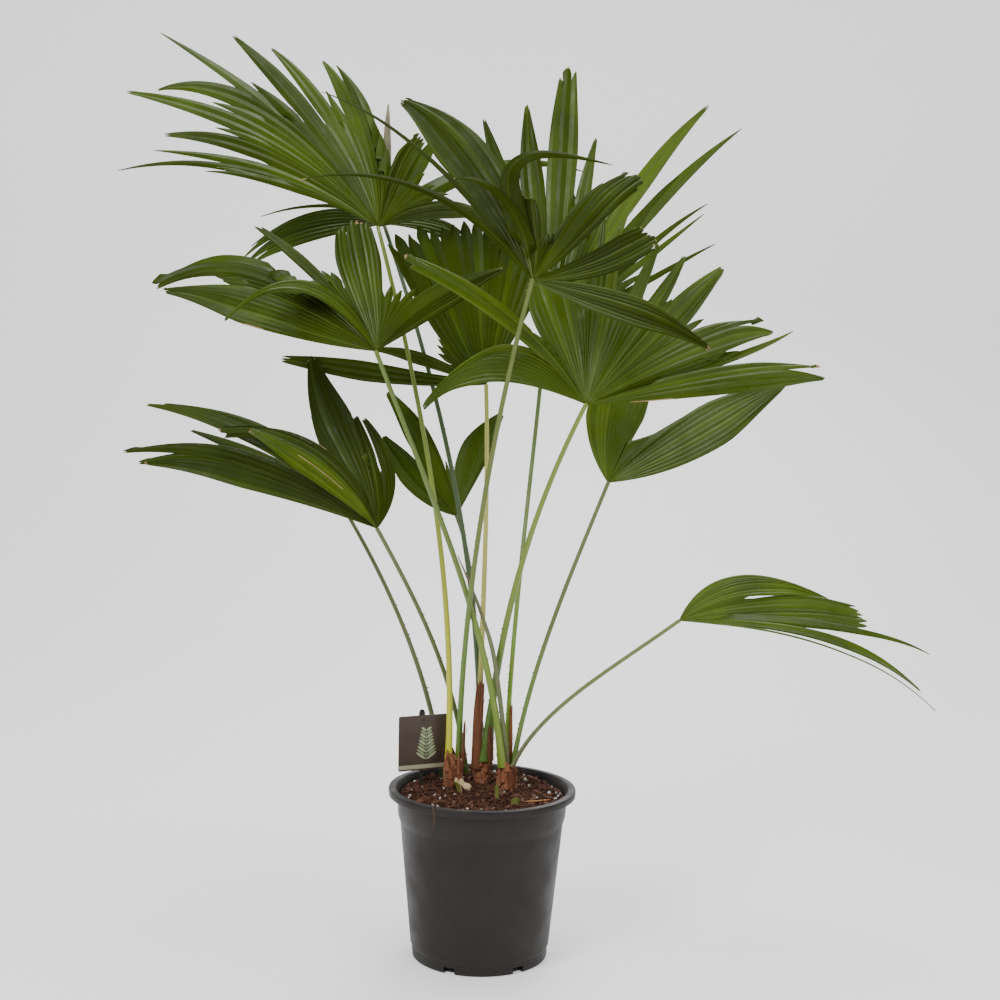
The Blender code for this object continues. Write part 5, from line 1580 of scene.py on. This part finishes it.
class PalmStalkSettings(bpy.types.PropertyGroup):
    thorn_length: FloatProperty(name="Thorn length", default=2.8 * MM, subtype="DISTANCE",
                                description="Length of a full-sized thorn on a stalk's edge")
    stalk_flare: FloatProperty(name="Stalk flare", default=0.16, min=0.0, max=1.0,
                               description="How much wider a stalk grows at its very foot")
    stalk_stoutness: FloatProperty(name="Stalk stoutness", default=1.12, min=0.8, max=1.3,
                                   description="Thickness of the stalks against the solids'")
    seed: IntProperty(name="Seed", description="Seed of the thorns' places", default=5)


class PalmPotSettings(bpy.types.PropertyGroup):
    steps: IntProperty(name="Steps", description="Faces round the pot", default=168, min=24)
    plastic: FloatVectorProperty(name="Plastic", description="Colour of the pot", subtype="COLOR",
                                 default=(0.0155, 0.0138, 0.0127))


class PalmMixSettings(bpy.types.PropertyGroup):
    crumbs: IntProperty(name="Crumbs", description="Crumbs lying on the potting mix", default=1500)
    chips: IntProperty(name="Chips", description="Bark chips lying on the potting mix", default=110)
    perlite: IntProperty(name="Perlite", description="White grains in the potting mix", default=64)
    threads: IntProperty(name="Threads", description="Coir threads on the potting mix", default=330)
    stem_fibres: IntProperty(name="Stem fibres", description="Dead curly fibres round each stem", default=16)
    seed: IntProperty(name="Seed", description="Seed of the litter's places", default=3)


class PalmStageSettings(bpy.types.PropertyGroup):
    lens: FloatProperty(name="Lens", description="Focal length of the camera", default=60.77,
                        subtype="DISTANCE_CAMERA")
    camera_place: FloatVectorProperty(name="Camera place", description="Where the camera stands",
                                      subtype="TRANSLATION", default=(0.015, -2.030, 0.756))
    pitch: FloatProperty(name="Pitch", description="Degrees that the camera looks down", default=5.42)
    roll: FloatProperty(name="Roll", description="Degrees that the camera leans", default=1.11)
    floor: FloatVectorProperty(name="Floor", description="Colour of the floor", subtype="COLOR",
                               default=(0.82, 0.82, 0.82))
    floor_glow: FloatProperty(name="Floor glow", description="Light that the floor gives off itself",
                              default=0.42)
    brightness: FloatProperty(name="Brightness", description="Strength of the light from all round",
                              default=0.42)


# Operators


def paper_sweep(material):
    """A floor that curves up into a wall behind the plant. Its back lets the view through."""
    bend = [(SWEEP_BACK + SWEEP_BEND * math.sin(a), SWEEP_BEND * (1 - math.cos(a)))
            for a in np.linspace(0, math.pi / 2, 25)]
    line = [(-SWEEP_WIDE, 0.0), *bend, (SWEEP_BACK + SWEEP_BEND, SWEEP_HIGH)]
    verts = [(side * SWEEP_WIDE, y, z - 0.0005) for y, z in line for side in (-1, 1)]
    quads = [(2 * i, 2 * i + 1, 2 * i + 3, 2 * i + 2) for i in range(len(line) - 1)]
    return quad_mesh("studio_floor", verts, quads, [material])


class BuildPalmFans(bpy.types.Operator):
    """Build the pleated fans"""
    bl_idname = "fan_palm.build_fans"
    bl_label = "Build fans"

    def execute(self, context):
        sizes = context.scene.fan_palm_fans
        greens = {
            "deep": leaf_material("leaf_deep", (0.026, 0.041, 0.0010), 0.38, 0.06),
            "dark": leaf_material("leaf_dark", (0.038, 0.061, 0.0013), 0.36, 0.10),
            "mid": leaf_material("leaf_mid", (0.052, 0.086, 0.002), 0.33),
            "bright": leaf_material("leaf_bright", (0.072, 0.114, 0.004), 0.34),
            "under": leaf_material("leaf_under", (0.080, 0.105, 0.024), 0.50),
            "faded": mottled_material(
                "leaf_faded", (0.16, 0.155, 0.085), (0.25, 0.235, 0.15), 0.7, 60.0, 0.0002),
            "dry": mottled_material(
                "leaf_dry", (0.19, 0.115, 0.045), (0.33, 0.24, 0.13), 0.75, 60.0, 0.0002),
        }
        for number, (key, frond) in enumerate(FRONDS.items()):
            build_fan(key, frond, sizes, greens, np.random.default_rng(sizes.seed + number))
        return {"FINISHED"}


class BuildPalmStalks(bpy.types.Operator):
    """Build the thorny stalks"""
    bl_idname = "fan_palm.build_stalks"
    bl_label = "Build stalks"

    def execute(self, context):
        sizes = context.scene.fan_palm_stalks
        random = np.random.default_rng(sizes.seed)
        thorns, *_ = new_material("thorn", (0.11, 0.10, 0.03), 0.5)
        for key, frond in FRONDS.items():
            material = stalk_material(f"stalk_skin_{key}", *STALK_COLOURS[key])
            build_stalk(key, frond, sizes, material, thorns, random)
        return {"FINISHED"}


class BuildPalmSpear(bpy.types.Operator):
    """Build the unopened leaf"""
    bl_idname = "fan_palm.build_spear"
    bl_label = "Build spear leaf"

    def execute(self, context):
        skin = streaked_material(
            "spear_skin", (0.10, 0.125, 0.045), (0.17, 0.17, 0.09), 0.6, 24.0, 6.0, 0.0003)
        tip = streaked_material(
            "spear_tip", (0.13, 0.085, 0.05), (0.24, 0.17, 0.11), 0.75, 24.0, 6.0, 0.0003)
        build_spear(skin, tip)
        return {"FINISHED"}


class BuildPalmStems(bpy.types.Operator):
    """Build the stems and the remains of old leaves round them"""
    bl_idname = "fan_palm.build_stems"
    bl_label = "Build stems"

    def execute(self, context):
        amounts = context.scene.fan_palm_mix
        random = np.random.default_rng(amounts.seed + 40)
        skin = stem_material((0.44, 0.165, 0.082), (0.13, 0.047, 0.024))
        scale = streaked_material(
            "stem_scale", (0.40, 0.150, 0.074), (0.17, 0.062, 0.030), 0.85, 26.0, 3.0, 0.0006, specular=0.25)
        sheath = streaked_material(
            "sheath_skin", (0.25, 0.092, 0.040), (0.050, 0.018, 0.009), 0.75, 22.0, 2.0, 0.0006, specular=0.3)
        # The tall right sheath gets a lighter orange than the others: painted light that lifts it where it
        # lies edge-on in shade
        painted_light_sheath = streaked_material(
            "sheath_painted_light", (0.44, 0.17, 0.060), (0.19, 0.070, 0.028), 0.7, 22.0, 2.0, 0.0006, specular=0.3)
        weave = new_material("weave_fibre", (0.46, 0.24, 0.145), 0.85, 0.2)[0]
        green = streaked_material(
            "stub_skin", (0.085, 0.135, 0.018), (0.19, 0.17, 0.05), 0.5, 12.0, 3.0, 0.0003)
        cut = streaked_material(
            "stub_cut", (0.44, 0.31, 0.15), (0.62, 0.50, 0.30), 0.8, 30.0, 30.0, 0.0005)
        for key, stem in STEMS.items():
            build_stem(key, stem, skin, scale, random)
        for key, (facing, rows) in SHEATHS.items():
            # right_tall takes the lighter sheath colour, which is painted light against the shade it lies in
            build_sheath(key, facing, rows, painted_light_sheath if key == "right_tall" else sheath, random)
        build_weave(weave, random)
        build_stubs(cut, green, random)
        build_fibres(amounts, new_material("dead_fibre", (0.110, 0.055, 0.032), 0.85, 0.2)[0], random)
        return {"FINISHED"}


class BuildPalmPot(bpy.types.Operator):
    """Build the nursery pot"""
    bl_idname = "fan_palm.build_pot"
    bl_label = "Build pot"

    def execute(self, context):
        sizes = context.scene.fan_palm_pot
        build_pot(sizes.steps, pot_material(tuple(sizes.plastic)))
        return {"FINISHED"}


class BuildPalmMix(bpy.types.Operator):
    """Build the potting mix and what lies on it"""
    bl_idname = "fan_palm.build_mix"
    bl_label = "Build potting mix"

    def execute(self, context):
        amounts = context.scene.fan_palm_mix
        random = np.random.default_rng(amounts.seed)
        build_mix(mottled_material(
            "mix_ground", (0.032, 0.014, 0.010), (0.090, 0.038, 0.025), 0.95, 160.0, 0.0015, 0.15))
        build_litter(amounts, {
            "dark": mottled_material(
                "litter_dark", (0.024, 0.011, 0.008), (0.058, 0.026, 0.018), 0.95, 300.0, 0.0004, 0.15),
            "red": mottled_material(
                "litter_red", (0.120, 0.050, 0.030), (0.066, 0.028, 0.018), 0.95, 300.0, 0.0004, 0.15),
            "bark": mottled_material(
                "bark", (0.075, 0.032, 0.020), (0.140, 0.068, 0.043), 0.9, 220.0, 0.0005, 0.2),
            "white": mottled_material(
                "perlite_grain", (0.40, 0.37, 0.33), (0.62, 0.59, 0.55), 0.9, 500.0, 0.0003, 0.2),
            "thread": new_material("coir", (0.12, 0.056, 0.030), 0.9, 0.2)[0],
            "sliver": mottled_material(
                "sliver", (0.34, 0.15, 0.050), (0.42, 0.21, 0.080), 0.8, 90.0, 0.0004, 0.2),
        }, random)
        return {"FINISHED"}


class BuildPalmTag(bpy.types.Operator):
    """Build the plant tag"""
    bl_idname = "fan_palm.build_tag"
    bl_label = "Build tag"

    def execute(self, context):
        build_tag({
            "card": mottled_material(
                "tag_board", (0.046, 0.029, 0.022), (0.062, 0.040, 0.030), 0.42, 30.0, 0.0),
            "band": new_material("tag_band", (0.33, 0.34, 0.22), 0.5)[0],
            "sprig": new_material("tag_sprig", (0.20, 0.26, 0.13), 0.5)[0],
            "sprig_pale": new_material("tag_sprig_pale", (0.32, 0.37, 0.22), 0.5)[0],
            "stake": mottled_material(
                "stake_plastic", (0.016, 0.015, 0.015), (0.026, 0.025, 0.025), 0.35, 40.0, 0.0),
        })
        return {"FINISHED"}


class BuildPalmStage(bpy.types.Operator):
    """Set up the pale floor, the soft lights and the camera"""
    bl_idname = "fan_palm.build_stage"
    bl_label = "Build stage"

    def execute(self, context):
        settings = context.scene.fan_palm_stage
        scene = context.scene
        world = bpy.data.worlds.new("studio")
        world.use_nodes = True
        background = world.node_tree.nodes["Background"]
        background.inputs["Color"].default_value = (1.0, 1.0, 1.0, 1.0)
        background.inputs["Strength"].default_value = settings.brightness
        scene.world = world
        paper, tree, shader = new_material("studio_paper", tuple(settings.floor), 0.9, 0.1)
        shader.inputs["Emission Color"].default_value = (1.0, 1.0, 1.0, 1.0)
        shader.inputs["Emission Strength"].default_value = settings.floor_glow
        behind = put(tree, "ShaderNodeNewGeometry").outputs["Backfacing"]
        tree.links.new(sums(tree, "SUBTRACT", 1.0, behind), shader.inputs["Alpha"])
        paper_sweep(paper)
        lights = (("key", (-1.7, -2.1, 2.3), 78.0, 1.3), ("fill", (1.9, -1.8, 1.3), 26.0, 1.6),
                  ("top", (0.2, 0.1, 3.0), 46.0, 1.5), ("back", (0.5, 1.9, 1.9), 26.0, 1.2))
        for name, place, power, size in lights:
            data = bpy.data.lights.new(name, "AREA")
            data.energy = power
            data.size = size
            lamp = bpy.data.objects.new(name, data)
            lamp.location = place
            aim = Vector((0.0, 0.0, 0.5)) - Vector(place)
            lamp.rotation_euler = aim.to_track_quat("-Z", "Y").to_euler()
            scene.collection.objects.link(lamp)
        data = bpy.data.cameras.new("front")
        data.lens = settings.lens
        data.sensor_width = 36.0
        camera = bpy.data.objects.new("front", data)
        tilt = Matrix.Rotation(math.radians(90.0 - settings.pitch), 4, "X")
        roll = Matrix.Rotation(math.radians(settings.roll), 4, "Z")
        camera.matrix_world = Matrix.Translation(settings.camera_place) @ tilt @ roll
        scene.collection.objects.link(camera)
        scene.camera = camera
        return {"FINISHED"}


BUILDERS = (
    BuildPalmFans, BuildPalmStalks, BuildPalmSpear, BuildPalmStems,
    BuildPalmPot, BuildPalmMix, BuildPalmTag, BuildPalmStage,
)
SETTINGS = {
    "fan_palm_fans": PalmFanSettings,
    "fan_palm_stalks": PalmStalkSettings,
    "fan_palm_pot": PalmPotSettings,
    "fan_palm_mix": PalmMixSettings,
    "fan_palm_stage": PalmStageSettings,
}


class PALM_PT_panel(bpy.types.Panel):
    """Settings and steps of the fan palm"""
    bl_label = "Fan Palm"
    bl_idname = "PALM_PT_panel"
    bl_space_type = "VIEW_3D"
    bl_region_type = "UI"
    bl_category = "Fan Palm"

    def draw(self, context):
        for name in SETTINGS:
            group = getattr(context.scene, name)
            box = self.layout.box()
            for field in group.bl_rna.properties.keys():
                if field not in ("rna_type", "name"):
                    box.prop(group, field)
        for builder in BUILDERS:
            self.layout.operator(builder.bl_idname)


def register():
    for group in SETTINGS.values():
        bpy.utils.register_class(group)
    for name, group in SETTINGS.items():
        setattr(bpy.types.Scene, name, PointerProperty(type=group))
    for item in (*BUILDERS, PALM_PT_panel):
        bpy.utils.register_class(item)


def unregister():
    for item in (PALM_PT_panel, *BUILDERS):
        bpy.utils.unregister_class(item)
    for name, group in SETTINGS.items():
        delattr(bpy.types.Scene, name)
        bpy.utils.unregister_class(group)


def main():
    register()
    for builder in BUILDERS:
        space, step = builder.bl_idname.split(".")
        getattr(getattr(bpy.ops, space), step)()
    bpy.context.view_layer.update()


if __name__ == "__main__":
    main()
